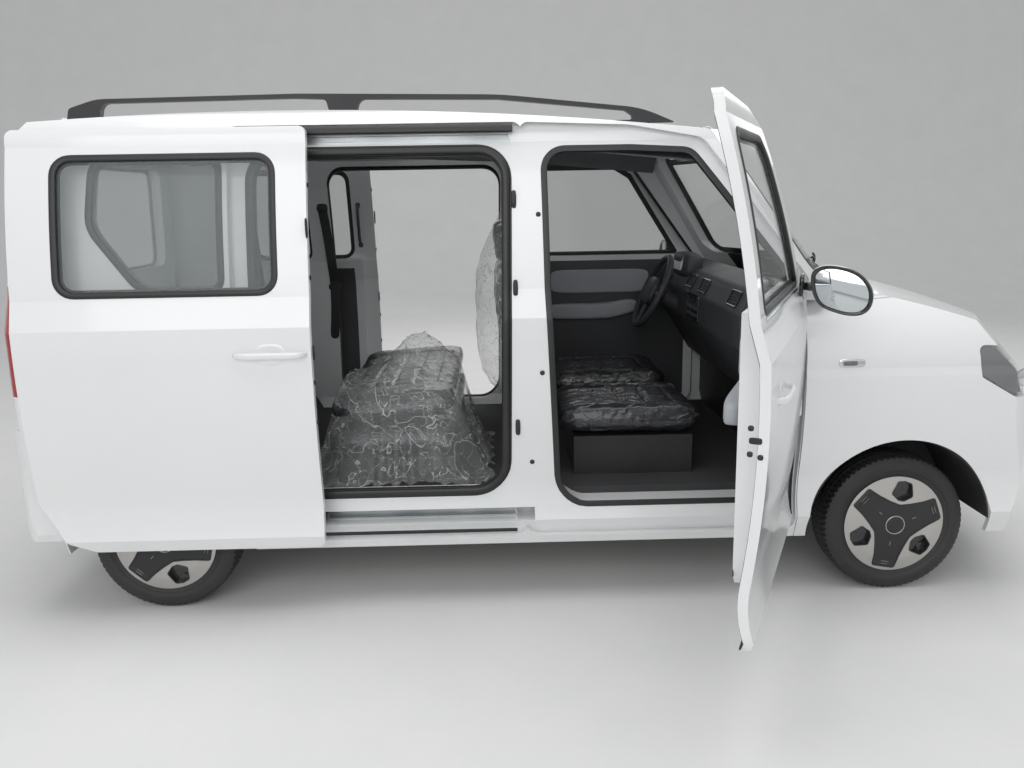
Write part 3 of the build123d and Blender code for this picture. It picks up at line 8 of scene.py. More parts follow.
import json
import logging
import math
from dataclasses import dataclass
from enum import Enum
from functools import partial

import bmesh
import bpy
import numpy as np
from mathutils import Matrix, Vector

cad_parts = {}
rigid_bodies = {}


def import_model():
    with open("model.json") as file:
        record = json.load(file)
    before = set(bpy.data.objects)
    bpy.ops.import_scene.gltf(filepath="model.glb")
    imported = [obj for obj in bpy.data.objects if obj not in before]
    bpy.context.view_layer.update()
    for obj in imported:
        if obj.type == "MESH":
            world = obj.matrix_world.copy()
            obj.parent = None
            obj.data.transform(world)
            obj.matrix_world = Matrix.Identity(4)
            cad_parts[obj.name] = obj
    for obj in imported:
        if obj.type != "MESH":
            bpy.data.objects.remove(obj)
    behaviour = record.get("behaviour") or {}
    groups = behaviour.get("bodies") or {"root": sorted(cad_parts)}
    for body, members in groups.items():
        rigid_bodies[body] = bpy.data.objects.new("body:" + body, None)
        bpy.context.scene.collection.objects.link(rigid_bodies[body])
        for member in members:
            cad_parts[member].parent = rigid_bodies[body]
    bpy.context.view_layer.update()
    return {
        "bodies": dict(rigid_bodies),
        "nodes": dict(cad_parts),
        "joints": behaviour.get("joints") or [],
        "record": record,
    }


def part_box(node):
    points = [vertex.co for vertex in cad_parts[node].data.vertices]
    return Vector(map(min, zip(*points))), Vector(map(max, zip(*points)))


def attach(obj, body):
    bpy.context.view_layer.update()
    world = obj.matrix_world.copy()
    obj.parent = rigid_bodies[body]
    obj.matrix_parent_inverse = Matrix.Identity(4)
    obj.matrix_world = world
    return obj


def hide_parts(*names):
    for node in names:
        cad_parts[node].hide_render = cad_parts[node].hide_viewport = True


LOG = logging.getLogger("minivan")
Array = np.ndarray
Colour = tuple[float, float, float]


class Side(Enum):
    """The van's two sides, by the sign of their y."""

    RIGHT = -1
    LEFT = 1

    @property
    def word(self) -> str:
        """The side's name in node and piece names."""
        return self.name.lower()


class Hang(Enum):
    """How a piece drawn on the closed body stands at rest."""

    FIXED = "as drawn"
    SLID = "on a sliding door that is pushed back"
    SWUNG = "on the right front door, swung open"


class Pattern(Enum):
    """The kind of detail that a finish shows."""

    CLOUD = "slow change of tone"
    GRAIN = "moulded grain"
    WEAVE = "woven cloth"
    # Its crease lines also carry painted highlights, in colour and in alpha.
    CRINKLE = "creased clear film"
    BRUSHED = "drawn or brushed metal"


SLIDE_BACK = 740.0
SLIDE_OUT = 78.0
DOOR_TURN = math.radians(65)
DOOR_HINGE = np.array([925.0, -831.5])


# Numbers and curves


def unit(vectors: Array) -> Array:
    """Vectors divided by their lengths, along the last axis."""
    return vectors / np.maximum(np.linalg.norm(vectors, axis=-1, keepdims=True), 1e-9)


def signed_power(values: Array, power: float) -> Array:
    """The size of each value to a power, with its sign kept."""
    return np.sign(values) * np.abs(values) ** power


def step(values: Array, low: float, high: float) -> Array:
    """A smooth rise from 0 at low to 1 at high: t squared times (3 - 2 t)."""
    t = np.clip((values - low) / (high - low), 0, 1)
    return t * t * (3 - 2 * t)


def arc_through(first: Array, middle: Array, last: Array, count: int = 16) -> Array:
    """Points of the circle's arc from first to last that passes through middle.

    Args:
        first: start of the arc, two numbers.
        middle: a point that the arc passes.
        last: end of the arc.
        count: how many points are returned.

    Returns:
        The points, one a row: the centre is where the two chords' bisectors
        meet, and the angle runs evenly from first to last.
    """
    a, b, c = (np.asarray(p, float) for p in (first, middle, last))
    rows = 2 * np.array([b - a, c - a])
    centre = np.linalg.solve(rows, [b @ b - a @ a, c @ c - a @ a])
    angles = np.unwrap([math.atan2(*(p - centre)[::-1]) for p in (a, b, c)])
    sweep = np.linspace(angles[0], angles[2], count)
    reach = np.linalg.norm(a - centre)
    return centre + reach * np.stack([np.cos(sweep), np.sin(sweep)], 1)


def rounded(corners: list, radii: list | float, steps: int = 7, spacing: float = 14.0) -> Array:
    """A closed outline of straight runs and round corners.

    Each corner's arc is centred on the corner's bisector at radius over the
    sine of half its angle; the outline is then divided evenly by length.

    Args:
        corners: the sharp corners, in order.
        radii: one radius for each corner, or one for all.
        steps: points on each arc before dividing.
        spacing: distance between the returned points.

    Returns:
        The outline's points, one a row.
    """
    here = np.asarray(corners, float)
    before, after = unit(np.roll(here, 1, 0) - here), unit(np.roll(here, -1, 0) - here)
    half = np.arccos(np.clip((before * after).sum(1), -1, 1)) / 2
    reach = np.broadcast_to(np.asarray(radii, float), half.shape)
    centre = here + unit(before + after) * (reach / np.sin(half))[:, None]
    tangent = (reach / np.tan(half))[:, None]
    start, end = here + before * tangent - centre, here + after * tangent - centre
    turn = (math.pi - 2 * half)[:, None, None]
    t = np.linspace(0, 1, steps)[None, :, None]
    arcs = centre[:, None] + (
        np.sin((1 - t) * turn) * start[:, None] + np.sin(t * turn) * end[:, None]
    ) / np.sin(turn)
    return divided(arcs.reshape(-1, 2), spacing)


def divided(outline: Array, spacing: float, closed: bool = True) -> Array:
    """Points evenly spaced by length along a line through the given points.

    Args:
        outline: the points.
        spacing: distance between the new ones.
        closed: whether the line ends where it starts.

    Returns:
        The new points.
    """
    ring = np.vstack([outline, outline[:1]]) if closed else outline
    runs = np.linalg.norm(np.diff(ring, axis=0), axis=1)
    keep = np.concatenate([[True], runs > 1e-6])
    ring, runs = ring[keep], runs[runs > 1e-6]
    length = np.concatenate([[0], np.cumsum(runs)])
    count = max(8, int(round(length[-1] / spacing)))
    at = np.linspace(0, length[-1], count + (not closed) * 1, endpoint=not closed)
    return np.stack([np.interp(at, length, ring[:, k]) for k in range(ring.shape[1])], 1)


def grown(outline: Array, distance: float) -> Array:
    """A closed outline moved out along its own normals by a distance.

    Args:
        outline: points in a plane.
        distance: how far it moves, inwards below zero.

    Returns:
        The moved outline.
    """
    along = unit(np.roll(outline, -1, 0) - np.roll(outline, 1, 0))
    normal = np.stack([along[:, 1], -along[:, 0]], 1)
    turned = np.sum(outline[:, 0] * np.roll(outline[:, 1], -1) - np.roll(outline[:, 0], -1) * outline[:, 1])
    return outline + normal * distance * np.sign(turned)


def creases(points: Array, seed: int, scale: float, sharp: float = 1.0) -> Array:
    """Folds of thin film, from 0 to 1 at each point.

    One minus the mean of the sizes of eight sine waves, each with its own
    direction and phase and half as strong as the wave before is long.

    Args:
        points: places in millimetres, three numbers a row.
        seed: fixes the waves' directions.
        scale: length of the longest wave, in millimetres.
        sharp: power that narrows the ridges.

    Returns:
        One height for each point.
    """
    draw = np.random.default_rng(seed)
    total, weight = np.zeros(points.shape[:-1]), 0.0
    for octave in range(8):
        direction = unit(draw.normal(size=3)) * 2 * math.pi / (scale * 0.72**octave)
        share = 0.8**octave
        total += share * np.abs(np.sin(points @ direction + draw.uniform(0, 6.28)))
        weight += share
    return (1 - total / weight) ** sharp


# Forms


@dataclass
class Form:
    """A mesh before it is a piece: points in millimetres and faces."""

    points: Array
    faces: list

    def __add__(self, other: Form) -> Form:
        """Both meshes in one, the second's faces renumbered.

        Args:
            other: the second mesh.

        Returns:
            One mesh.
        """
        shift = len(self.points)
        return Form(
            np.vstack([self.points, other.points]),
            self.faces + [[v + shift for v in face] for face in other.faces],
        )

    def moved(self, offset: tuple) -> Form:
        """The mesh shifted by a vector."""
        return Form(self.points + np.asarray(offset, float), self.faces)

    def laid(self, origin: tuple, axes: Array) -> Form:
        """The mesh with its own x, y and z laid along the rows of axes, from origin."""
        return Form(np.asarray(origin, float) + self.points @ np.asarray(axes, float), self.faces)


def joined(forms: list) -> Form:
    """Several meshes as one.

    Args:
        forms: the meshes, at least one.

    Returns:
        One mesh.
    """
    total = forms[0]
    for form in forms[1:]:
        total = total + form
    return total


def grid_faces(rows: int, columns: int, wrap_rows: bool = False, wrap_columns: bool = False) -> list:
    """Four-sided faces between neighbours of a grid, wrapped round where asked.

    Args:
        rows: how many rows of points.
        columns: how many points in a row.
        wrap_rows: whether the last row meets the first.
        wrap_columns: whether each row closes on itself.

    Returns:
        Faces as lists of point numbers.
    """
    i = np.arange(rows if wrap_rows else rows - 1)[:, None]
    j = np.arange(columns if wrap_columns else columns - 1)[None, :]
    i2, j2 = (i + 1) % rows, (j + 1) % columns
    quads = np.stack(
        np.broadcast_arrays(i * columns + j, i2 * columns + j, i2 * columns + j2, i * columns + j2), -1,
    )
    return quads.reshape(-1, 4).tolist()


def loft(rings: Array, closed: bool = False) -> Form:
    """Closed rings, one a row, skinned in order.

    Args:
        rings: points as (ring, place on the ring, 3).
        closed: joins the last ring to the first; else both ends get a cap.

    Returns:
        The closed mesh.
    """
    count, size = rings.shape[:2]
    faces = grid_faces(count, size, wrap_rows=closed, wrap_columns=True)
    if not closed:
        faces += [list(range(size))[::-1], list(range((count - 1) * size, count * size))]
    return Form(rings.reshape(-1, 3), faces)


def carried(path: Array, normal: Array, profile: Array, closed: bool = True) -> Form:
    """A profile carried along a path.

    At each point of the path the profile's first number goes across, away from
    the middle of the path, and its second goes along the normal.

    Args:
        path: points, three numbers a row.
        normal: one direction for each point, or one for all.
        profile: the closed cross-section, two numbers a row.
        closed: whether the path is a ring.

    Returns:
        The closed mesh, capped where the path is open.
    """
    if closed:
        along = unit(np.roll(path, -1, 0) - np.roll(path, 1, 0))
    else:
        along = unit(np.gradient(path, axis=0))
    up = unit(np.broadcast_to(np.asarray(normal, float), path.shape))
    across = unit(np.cross(along, up))
    if closed and np.sum(across * (path - path.mean(0))) < 0:
        across = -across
    up = unit(up - along * np.sum(up * along, 1, keepdims=True))
    rings = path[:, None] + across[:, None] * profile[None, :, :1] + up[:, None] * profile[None, :, 1:]
    return loft(rings, closed)


def bead(
    half_width: float, half_height: float, lift: float = 0.0, square: float = 0.6, count: int = 12,
) -> Array:
    """A closed rounded cross-section: a superellipse, lifted along its normal.

    Args:
        half_width: half size across.
        half_height: half size along the normal.
        lift: height of its middle.
        square: 1 for an ellipse, less for fuller corners.
        count: how many points.

    Returns:
        Points as (across, up).
    """
    t = np.arange(count) / count * 2 * math.pi
    return np.stack(
        [half_width * signed_power(np.cos(t), square), lift + half_height * signed_power(np.sin(t), square)],
        1,
    )


def shell(front: Array, back: Array) -> Form:
    """Two grids of the same size, joined round their four edges.

    Args:
        front: one grid of points.
        back: the other.

    Returns:
        The closed mesh.
    """
    rows, columns = front.shape[:2]
    faces = grid_faces(rows, columns)
    size = rows * columns
    edge = np.concatenate([
        np.arange(columns),
        np.arange(1, rows) * columns + columns - 1,
        (rows - 1) * columns + np.arange(columns - 2, -1, -1),
        np.arange(rows - 2, 0, -1) * columns,
    ])
    after = np.roll(edge, -1)
    rim = np.stack([edge, after, after + size, edge + size], 1).tolist()
    return Form(
        np.vstack([front.reshape(-1, 3), back.reshape(-1, 3)]),
        faces + [[v + size for v in f] for f in faces] + rim,
    )


def pillow(half: tuple, square: float = 0.35, rows: int = 14, columns: int = 28) -> Form:
    """A superellipsoid: each axis is a power of the sphere's sines and cosines.

    Args:
        half: half sizes along x, y and z.
        square: 1 for an ellipsoid, less for fuller corners.
        rows: rings from foot to top.
        columns: points on a ring.

    Returns:
        The closed mesh.
    """
    rise = np.linspace(-math.pi / 2, math.pi / 2, rows)[:, None]
    turn = (np.arange(columns) / columns * 2 * math.pi)[None, :]
    ring = signed_power(np.cos(rise), square)
    x = half[0] * ring * signed_power(np.cos(turn), square)
    y = half[1] * ring * signed_power(np.sin(turn), square)
    z = half[2] * signed_power(np.sin(rise), square) * np.ones_like(turn)
    return Form(np.stack([x, y, z], -1).reshape(-1, 3), grid_faces(rows, columns, wrap_columns=True))


def turned(profile: Array, count: int = 48) -> Form:
    """A closed profile of (radius, depth) turned about the x axis, depth along it.

    Args:
        profile: points as (radius, depth).
        count: how many places round the axis.

    Returns:
        The closed mesh.
    """
    angle = np.arange(count) / count * 2 * math.pi
    radius, depth = np.asarray(profile, float).T
    rings = np.stack([
        np.broadcast_to(depth, (count, len(depth))),
        np.cos(angle)[:, None] * radius,
        np.sin(angle)[:, None] * radius,
    ], -1)
    return Form(rings.reshape(-1, 3), grid_faces(count, len(depth), wrap_rows=True, wrap_columns=True))


def plate(outline: Array, top: float, bottom: float, edge: float = 1.0) -> Form:
    """A flat plate in x and y with a small round on its upper edge.

    Args:
        outline: its edge.
        top: height of the upper face.
        bottom: height of the lower face.
        edge: radius of the round.

    Returns:
        The closed mesh.
    """
    rings = [(0.0, bottom), (0.0, top - edge), (-0.35 * edge, top - 0.3 * edge), (-edge, top)]
    stack = [
        np.column_stack([grown(outline, inset), np.full(len(outline), height)]) for inset, height in rings
    ]
    return loft(np.array(stack))


def cushion(outline: Array, thickness: float, rows: int = 16, crown: float = 0.5) -> Form:
    """A crowned pad: the outline shrunk to its middle while the faces rise.

    At a share t of the outline both faces stand off by half the thickness
    times (1 - t to the fifth) to the crown power.

    Args:
        outline: the pad's edge, in its own x and y.
        thickness: full thickness at the middle.
        rows: rings from middle to edge.
        crown: how suddenly the face falls at the edge.

    Returns:
        A closed mesh whose z is the thickness direction.
    """
    share = np.sin(np.linspace(0, math.pi / 2, rows))
    height = thickness / 2 * (1 - share**5) ** crown
    middle = outline.mean(0)
    flat = middle + (outline - middle)[None] * share[:, None, None]
    upper = np.concatenate([flat, np.broadcast_to(height[:, None, None], flat.shape[:2] + (1,))], -1)
    lower = np.concatenate([flat, np.broadcast_to(-height[:, None, None], flat.shape[:2] + (1,))], -1)
    rings = np.concatenate([upper, lower[::-1][1:]])
    return Form(rings.reshape(-1, 3), grid_faces(len(rings), len(outline), wrap_columns=True))


@dataclass(frozen=True)
class SideSkin:
    """The body side's half width at each height."""

    line: tuple

    def half(self, height: Array) -> Array:
        """Half width at a height, read along the section's line."""
        width, level = np.asarray(self.line).T
        return np.interp(height, level, width)

    def at(self, outline: Array, depth: float = 0.0) -> tuple[Array, Array]:
        """Points of an (x, z) outline on the skin, and the skin's normals there.

        Args:
            outline: points as (x, z).
            depth: how far below the skin they lie.

        Returns:
            The points and the normals, three numbers a row.
        """
        x, z = outline.T
        slope = (self.half(z + 4) - self.half(z - 4)) / 8
        normal = unit(np.stack([np.zeros_like(z), np.ones_like(z), -slope], 1))
        return np.stack([x, self.half(z), z], 1) - normal * depth, normal


def side_line() -> tuple:
    """The cabin's section: half width and height, from the sill to the gutter.

    Returns:
        The section's points as (half width, height).
    """
    runs = [
        np.array([[795.0, 240.0]]),
        arc_through((826, 330), (808, 415), (810, 492)),
        arc_through((810, 492), (836, 760), (836, 1105)),
        arc_through((806, 1208), (762, 1480), (700, 1725)),
        arc_through((700, 1725), (678, 1800), (615, 1853)),
    ]
    return tuple(map(tuple, np.vstack(runs)))


SKIN = SideSkin(side_line())


# Finishes


@dataclass(frozen=True)
class Finish:
    """A procedural finish, from its colours, gloss and pattern."""

    name: str
    colour: Colour
    # Second colour: a random change of tone, and on creased film the painted highlight along the creases.
    shade: Colour
    rough: float = 0.5
    metal: float = 0.0
    coat: float = 0.0
    alpha: float = 1.0
    pattern: Pattern = Pattern.CLOUD
    scale: float = 40.0
    stretch: Colour = (1.0, 1.0, 1.0)
    bump: float = 0.1
    rough_swing: float = 0.08
    dust: float = 0.0
    dust_top: float = 0.45
    glow: float = 0.0

    def material(self) -> bpy.types.Material:
        """The finish's material, made once and found by name after that."""
        found = bpy.data.materials.get("finish_" + self.name)
        return found or FinishGraph(self).built


class FinishGraph:
    """Builds the shader of one finish."""

    def __init__(self, finish: Finish) -> None:
        """Makes the material and all of its nodes.

        Args:
            finish: the finish to build.
        """
        self.finish = finish
        self.built = bpy.data.materials.new("finish_" + finish.name)
        self.built.use_nodes = True
        self.tree = self.built.node_tree
        self.shader = self.tree.nodes["Principled BSDF"]
        self.place = self.tree.nodes.new("ShaderNodeTexCoord").outputs["Object"]
        self.constants()
        slow = self.texture(3.0, Pattern.CLOUD, (1, 1, 1))
        fine = self.texture(finish.scale, finish.pattern, finish.stretch)
        self.tree.links.new(self.colours(slow, fine), self.shader.inputs["Base Color"])
        self.roughness(slow)
        self.relief(fine)
        if finish.alpha < 1:
            self.see_through(fine)

    def constants(self) -> None:
        """Sets the numbers that are the same all over the surface."""
        finish, sockets = self.finish, self.shader.inputs
        sockets["Metallic"].default_value = finish.metal
        sockets["Coat Weight"].default_value = finish.coat
        sockets["Coat Roughness"].default_value = 0.06
        sockets["Alpha"].default_value = finish.alpha
        if finish.glow:
            sockets["Emission Color"].default_value = (*finish.colour, 1)
            sockets["Emission Strength"].default_value = finish.glow

    def add(self, kind: str, **settings: object) -> bpy.types.Node:
        """A new node of a kind, with its settings.

        Args:
            kind: Blender's name for it.
            settings: its attributes by name.

        Returns:
            The node.
        """
        node = self.tree.nodes.new(kind)
        for name, value in settings.items():
            setattr(node, name, value)
        return node

    def feed(self, node: bpy.types.Node, **values: object) -> bpy.types.Node:
        """Puts values or links into a node's sockets, by their names.

        Args:
            node: the node to fill.
            values: socket names with _ for spaces, and numbers or outputs.

        Returns:
            The same node.
        """
        for name, value in values.items():
            socket = node.inputs[name.replace("_", " ")]
            if isinstance(value, bpy.types.NodeSocket):
                self.tree.links.new(value, socket)
            else:
                socket.default_value = value
        return node

    def texture(self, scale: float, pattern: Pattern, stretch: Colour) -> bpy.types.NodeSocket:
        """One pattern in object coordinates, as a value from 0 to 1.

        Args:
            scale: features to the metre.
            pattern: what the value looks like.
            stretch: scale along each axis, against the plain scale.

        Returns:
            The socket that carries the value.
        """
        mapped = self.feed(
            self.add("ShaderNodeMapping"), Vector=self.place, Scale=Vector(stretch),
        ).outputs["Vector"]
        if pattern is Pattern.GRAIN:
            node = self.feed(self.add("ShaderNodeTexVoronoi"), Vector=mapped, Scale=scale)
            return node.outputs["Distance"]
        if pattern is Pattern.WEAVE:
            waves = [
                self.feed(
                    self.add("ShaderNodeTexWave", bands_direction=axis), Vector=mapped, Scale=scale,
                    Distortion=0.6,
                ).outputs["Fac"]
                for axis in ("X", "Y", "Z")
            ]
            first = self.add("ShaderNodeMath", operation="MAXIMUM")
            self.tree.links.new(waves[0], first.inputs[0])
            self.tree.links.new(waves[1], first.inputs[1])
            last = self.add("ShaderNodeMath", operation="MULTIPLY")
            self.tree.links.new(first.outputs[0], last.inputs[0])
            self.tree.links.new(waves[2], last.inputs[1])
            return last.outputs[0]
        if pattern is Pattern.CRINKLE:
            # Crease lines: they bump the film and are painted lighter, in colour and in alpha, as highlights.
            ridges = [self.ridge(mapped, scale * share) for share in (0.9, 2.1)]
            node = self.add("ShaderNodeMath", operation="MAXIMUM")
            for ridge, socket in zip(ridges, node.inputs):
                self.tree.links.new(ridge, socket)
            return node.outputs[0]
        node = self.add("ShaderNodeTexNoise")
        return self.feed(node, Vector=mapped, Scale=scale, Detail=2.0, Roughness=0.55).outputs["Fac"]

    def ridge(self, place: bpy.types.NodeSocket, scale: float) -> bpy.types.NodeSocket:
        """Thin winding lines: 1 where noise crosses its middle, 0 a little way off.

        Args:
            place: the coordinates.
            scale: the noise's scale.

        Returns:
            The socket that carries the value.
        """
        noise = self.feed(
            self.add("ShaderNodeTexNoise"), Vector=place, Scale=scale, Detail=2.0, Roughness=0.5,
            Distortion=0.6,
        ).outputs["Fac"]
        middle = self.add("ShaderNodeMath", operation="SUBTRACT")
        self.tree.links.new(noise, middle.inputs[0])
        middle.inputs[1].default_value = 0.5
        size = self.add("ShaderNodeMath", operation="ABSOLUTE")
        self.tree.links.new(middle.outputs[0], size.inputs[0])
        near = self.add("ShaderNodeMapRange", interpolation_type="SMOOTHSTEP")
        return self.feed(
            near, Value=size.outputs[0], From_Min=0.0, From_Max=0.018, To_Min=1.0, To_Max=0.0,
        ).outputs["Result"]

    def colours(self, slow: bpy.types.NodeSocket, fine: bpy.types.NodeSocket) -> bpy.types.NodeSocket:
        """The base colour: two tones by the slow and fine patterns, with dust low down; on creased film the
        second tone is a painted highlight along the creases.

        Args:
            slow: value of the slow change of tone.
            fine: value of the finish's own pattern.

        Returns:
            The colour's socket.
        """
        creased = self.finish.pattern is Pattern.CRINKLE
        both = self.add("ShaderNodeMath", operation="MULTIPLY" if creased else "MULTIPLY_ADD")
        self.tree.links.new(fine, both.inputs[0])
        both.inputs[1].default_value = 0.35
        self.tree.links.new(slow, both.inputs[1 if creased else 2])
        ramp = self.feed(self.add("ShaderNodeValToRGB"), Fac=both.outputs[0])
        low, high = ramp.color_ramp.elements
        # On creased film the ramp paints the crease lines in the lighter second colour: a painted highlight.
        low.position, high.position = (0.22, 0.62) if creased else (0.40, 0.95)
        low.color, high.color = (*self.finish.colour, 1), (*self.finish.shade, 1)
        colour = ramp.outputs["Color"]
        if self.finish.dust <= 0:
            return colour
        height = self.feed(self.add("ShaderNodeSeparateXYZ"), Vector=self.place).outputs["Z"]
        fade = self.add("ShaderNodeMapRange")
        self.feed(fade, Value=height, From_Min=self.finish.dust_top, From_Max=0.12)
        level = self.feed(fade, To_Min=0.0, To_Max=self.finish.dust).outputs["Result"]
        amount = self.add("ShaderNodeMath", operation="MULTIPLY")
        self.tree.links.new(level, amount.inputs[0])
        self.tree.links.new(slow, amount.inputs[1])
        mix = self.add("ShaderNodeMixRGB")
        self.tree.links.new(amount.outputs[0], mix.inputs["Fac"])
        self.tree.links.new(colour, mix.inputs["Color1"])
        mix.inputs["Color2"].default_value = (0.33, 0.30, 0.26, 1)
        return mix.outputs["Color"]

    def roughness(self, slow: bpy.types.NodeSocket) -> None:
        """Lets the roughness wander about its middle with the slow pattern.

        Args:
            slow: the slow pattern's socket.
        """
        middle, swing = self.finish.rough, self.finish.rough_swing
        spread = self.add("ShaderNodeMapRange")
        self.feed(
            spread, Value=slow, From_Min=0.3, From_Max=0.7, To_Min=max(0.02, middle - swing),
            To_Max=middle + swing,
        )
        self.tree.links.new(spread.outputs["Result"], self.shader.inputs["Roughness"])

    def relief(self, fine: bpy.types.NodeSocket) -> None:
        """Adds the fine pattern as bump, on the coat too where it is film.

        Args:
            fine: the fine pattern's socket.
        """
        if self.finish.bump <= 0:
            return
        bump = self.feed(
            self.add("ShaderNodeBump"), Height=fine, Strength=self.finish.bump,
            Distance=0.02 / max(1.0, self.finish.scale / 10),
        )
        self.tree.links.new(bump.outputs["Normal"], self.shader.inputs["Normal"])
        if self.finish.coat > 0 and self.finish.pattern is Pattern.CRINKLE:
            self.tree.links.new(bump.outputs["Normal"], self.shader.inputs["Coat Normal"])

    def see_through(self, fine: bpy.types.NodeSocket) -> None:
        """Paints highlights on clear film: it grows more opaque, and so whiter, along its creases; glass
        keeps one alpha.

        Args:
            fine: the fine pattern's socket.
        """
        if self.finish.pattern is not Pattern.CRINKLE:
            return
        alpha = self.finish.alpha
        # Alpha rises along the creases: a painted highlight on the film.
        spread = self.feed(
            self.add("ShaderNodeMapRange"), Value=fine, From_Min=0.2, From_Max=1.0, To_Min=alpha * 0.7,
            To_Max=min(1.0, alpha * 2.2),
        )
        self.tree.links.new(spread.outputs["Result"], self.shader.inputs["Alpha"])


WHITE_PAINT = Finish(
    "white_paint", (0.82, 0.83, 0.835), (0.80, 0.812, 0.818),
    rough=0.24, coat=0.6, scale=120, bump=0.0, rough_swing=0.015, dust=0.22, dust_top=0.42,
)
SEAL_BLACK = Finish(
    "seal_rubber", (0.012, 0.012, 0.013), (0.022, 0.022, 0.023),
    rough=0.42, scale=90, bump=0.12,
)
TRIM_BLACK = Finish(
    "black_trim", (0.016, 0.016, 0.018), (0.026, 0.026, 0.028),
    rough=0.5, pattern=Pattern.GRAIN, scale=520, bump=0.25,
)
GLOSS_BLACK = Finish(
    "gloss_black", (0.012, 0.012, 0.013), (0.018, 0.018, 0.02),
    rough=0.12, coat=0.6, scale=300, bump=0.01,
)
CHASSIS_BLACK = Finish(
    "chassis_black", (0.018, 0.018, 0.019), (0.032, 0.031, 0.03),
    rough=0.6, scale=60, bump=0.2, dust=0.18, dust_top=0.4,
)
BARE_STEEL = Finish(
    "bare_steel", (0.36, 0.36, 0.35), (0.24, 0.22, 0.20),
    rough=0.42, metal=0.9, pattern=Pattern.BRUSHED, scale=80, stretch=(1, 12, 12), bump=0.08,
)
TRACK_METAL = Finish(
    "track_metal", (0.50, 0.52, 0.53), (0.36, 0.38, 0.39),
    rough=0.32, metal=0.8, pattern=Pattern.BRUSHED, scale=60, stretch=(0.6, 14, 14), bump=0.06,
)
FLOOR_CARPET = Finish(
    "floor_carpet", (0.035, 0.035, 0.037), (0.06, 0.06, 0.062),
    rough=0.9, pattern=Pattern.GRAIN, scale=420, bump=0.7,
)
DASH_GREY = Finish(
    "dash_plastic", (0.045, 0.047, 0.052), (0.06, 0.062, 0.068),
    rough=0.55, pattern=Pattern.GRAIN, scale=620, bump=0.3,
)
PALE_PAD = Finish(
    "pale_padding", (0.42, 0.44, 0.47), (0.36, 0.38, 0.41),
    rough=0.6, pattern=Pattern.GRAIN, scale=560, bump=0.3,
)
HEADLINING = Finish(
    "headlining", (0.16, 0.17, 0.18), (0.12, 0.125, 0.135),
    rough=0.9, pattern=Pattern.WEAVE, scale=260, bump=0.4,
)
WHEEL_SILVER = Finish(
    "wheel_silver", (0.56, 0.545, 0.52), (0.47, 0.455, 0.435),
    rough=0.34, metal=0.75, pattern=Pattern.BRUSHED, scale=180, stretch=(1, 3, 1), bump=0.04,
)
TYRE_RUBBER = Finish(
    "tyre_rubber", (0.012, 0.0125, 0.014), (0.026, 0.026, 0.027),
    rough=0.6, scale=70, bump=0.2, dust=0.05, dust_top=0.5,
)
# Dark cloth under film; the lighter second colour along the creases is a painted highlight.
FILMED_CLOTH = Finish(
    "filmed_cloth", (0.012, 0.0125, 0.015), (0.15, 0.155, 0.165),
    rough=0.5, coat=0.7, pattern=Pattern.CRINKLE, scale=9, stretch=(0.6, 1.4, 1.4), bump=0.25,
)
# Film-covered visor; the lighter second colour along the creases is a painted highlight.
CLEAR_PAD = Finish(
    "filmed_visor", (0.44, 0.44, 0.43), (0.52, 0.52, 0.51),
    rough=0.4, coat=0.9, pattern=Pattern.CRINKLE, scale=10, bump=0.8,
)
# Clear film; its creases turn lighter and more opaque as painted highlights.
CLEAR_FILM = Finish(
    "clear_film", (0.62, 0.63, 0.63), (0.88, 0.88, 0.88),
    rough=0.14, alpha=0.15, pattern=Pattern.CRINKLE, scale=8, bump=0.2,
)
WINDOW_GLASS = Finish(
    "window_glass", (0.20, 0.24, 0.24), (0.16, 0.19, 0.19),
    rough=0.03, alpha=0.20, coat=1.0, scale=2, bump=0.0, rough_swing=0.01,
)
LAMP_COVER = Finish(
    "lamp_cover", (0.75, 0.77, 0.79), (0.66, 0.68, 0.70),
    rough=0.05, alpha=0.22, coat=0.6, scale=12, bump=0.02, rough_swing=0.02,
)
LAMP_RED = Finish(
    "lamp_red", (0.42, 0.012, 0.014), (0.27, 0.008, 0.010),
    rough=0.12, coat=0.8, pattern=Pattern.GRAIN, scale=160, bump=0.12,
)
CHROME = Finish("chrome", (0.70, 0.71, 0.72), (0.62, 0.63, 0.64), rough=0.12, metal=1.0, scale=30, bump=0.01)
MIRROR_GLASS = Finish(
    "mirror_glass", (0.62, 0.65, 0.67), (0.58, 0.61, 0.63),
    rough=0.05, metal=1.0, scale=20, bump=0.0, rough_swing=0.02,
)
SMOKY_LENS = Finish(
    "smoky_lens", (0.24, 0.23, 0.22), (0.10, 0.095, 0.09),
    rough=0.12, coat=0.8, pattern=Pattern.GRAIN, scale=200, bump=0.1,
)
LAMP_DARK = Finish(
    "lamp_housing", (0.03, 0.032, 0.036), (0.07, 0.075, 0.08),
    rough=0.2, coat=0.5, scale=30, bump=0.05,
)
SCREEN = Finish(
    "pale_screen", (0.50, 0.56, 0.60), (0.44, 0.50, 0.55),
    rough=0.25, scale=50, bump=0.0, glow=0.12,
)
BATTERY_CASE = Finish(
    "battery_case", (0.20, 0.20, 0.20), (0.28, 0.27, 0.26),
    rough=0.5, metal=0.6, scale=90, bump=0.25, dust=0.7, dust_top=0.5,
)
STUDIO_FLOOR = Finish("studio_floor", (0.80, 0.80, 0.79), (0.77, 0.77, 0.765), rough=0.9, scale=25, bump=0.0)

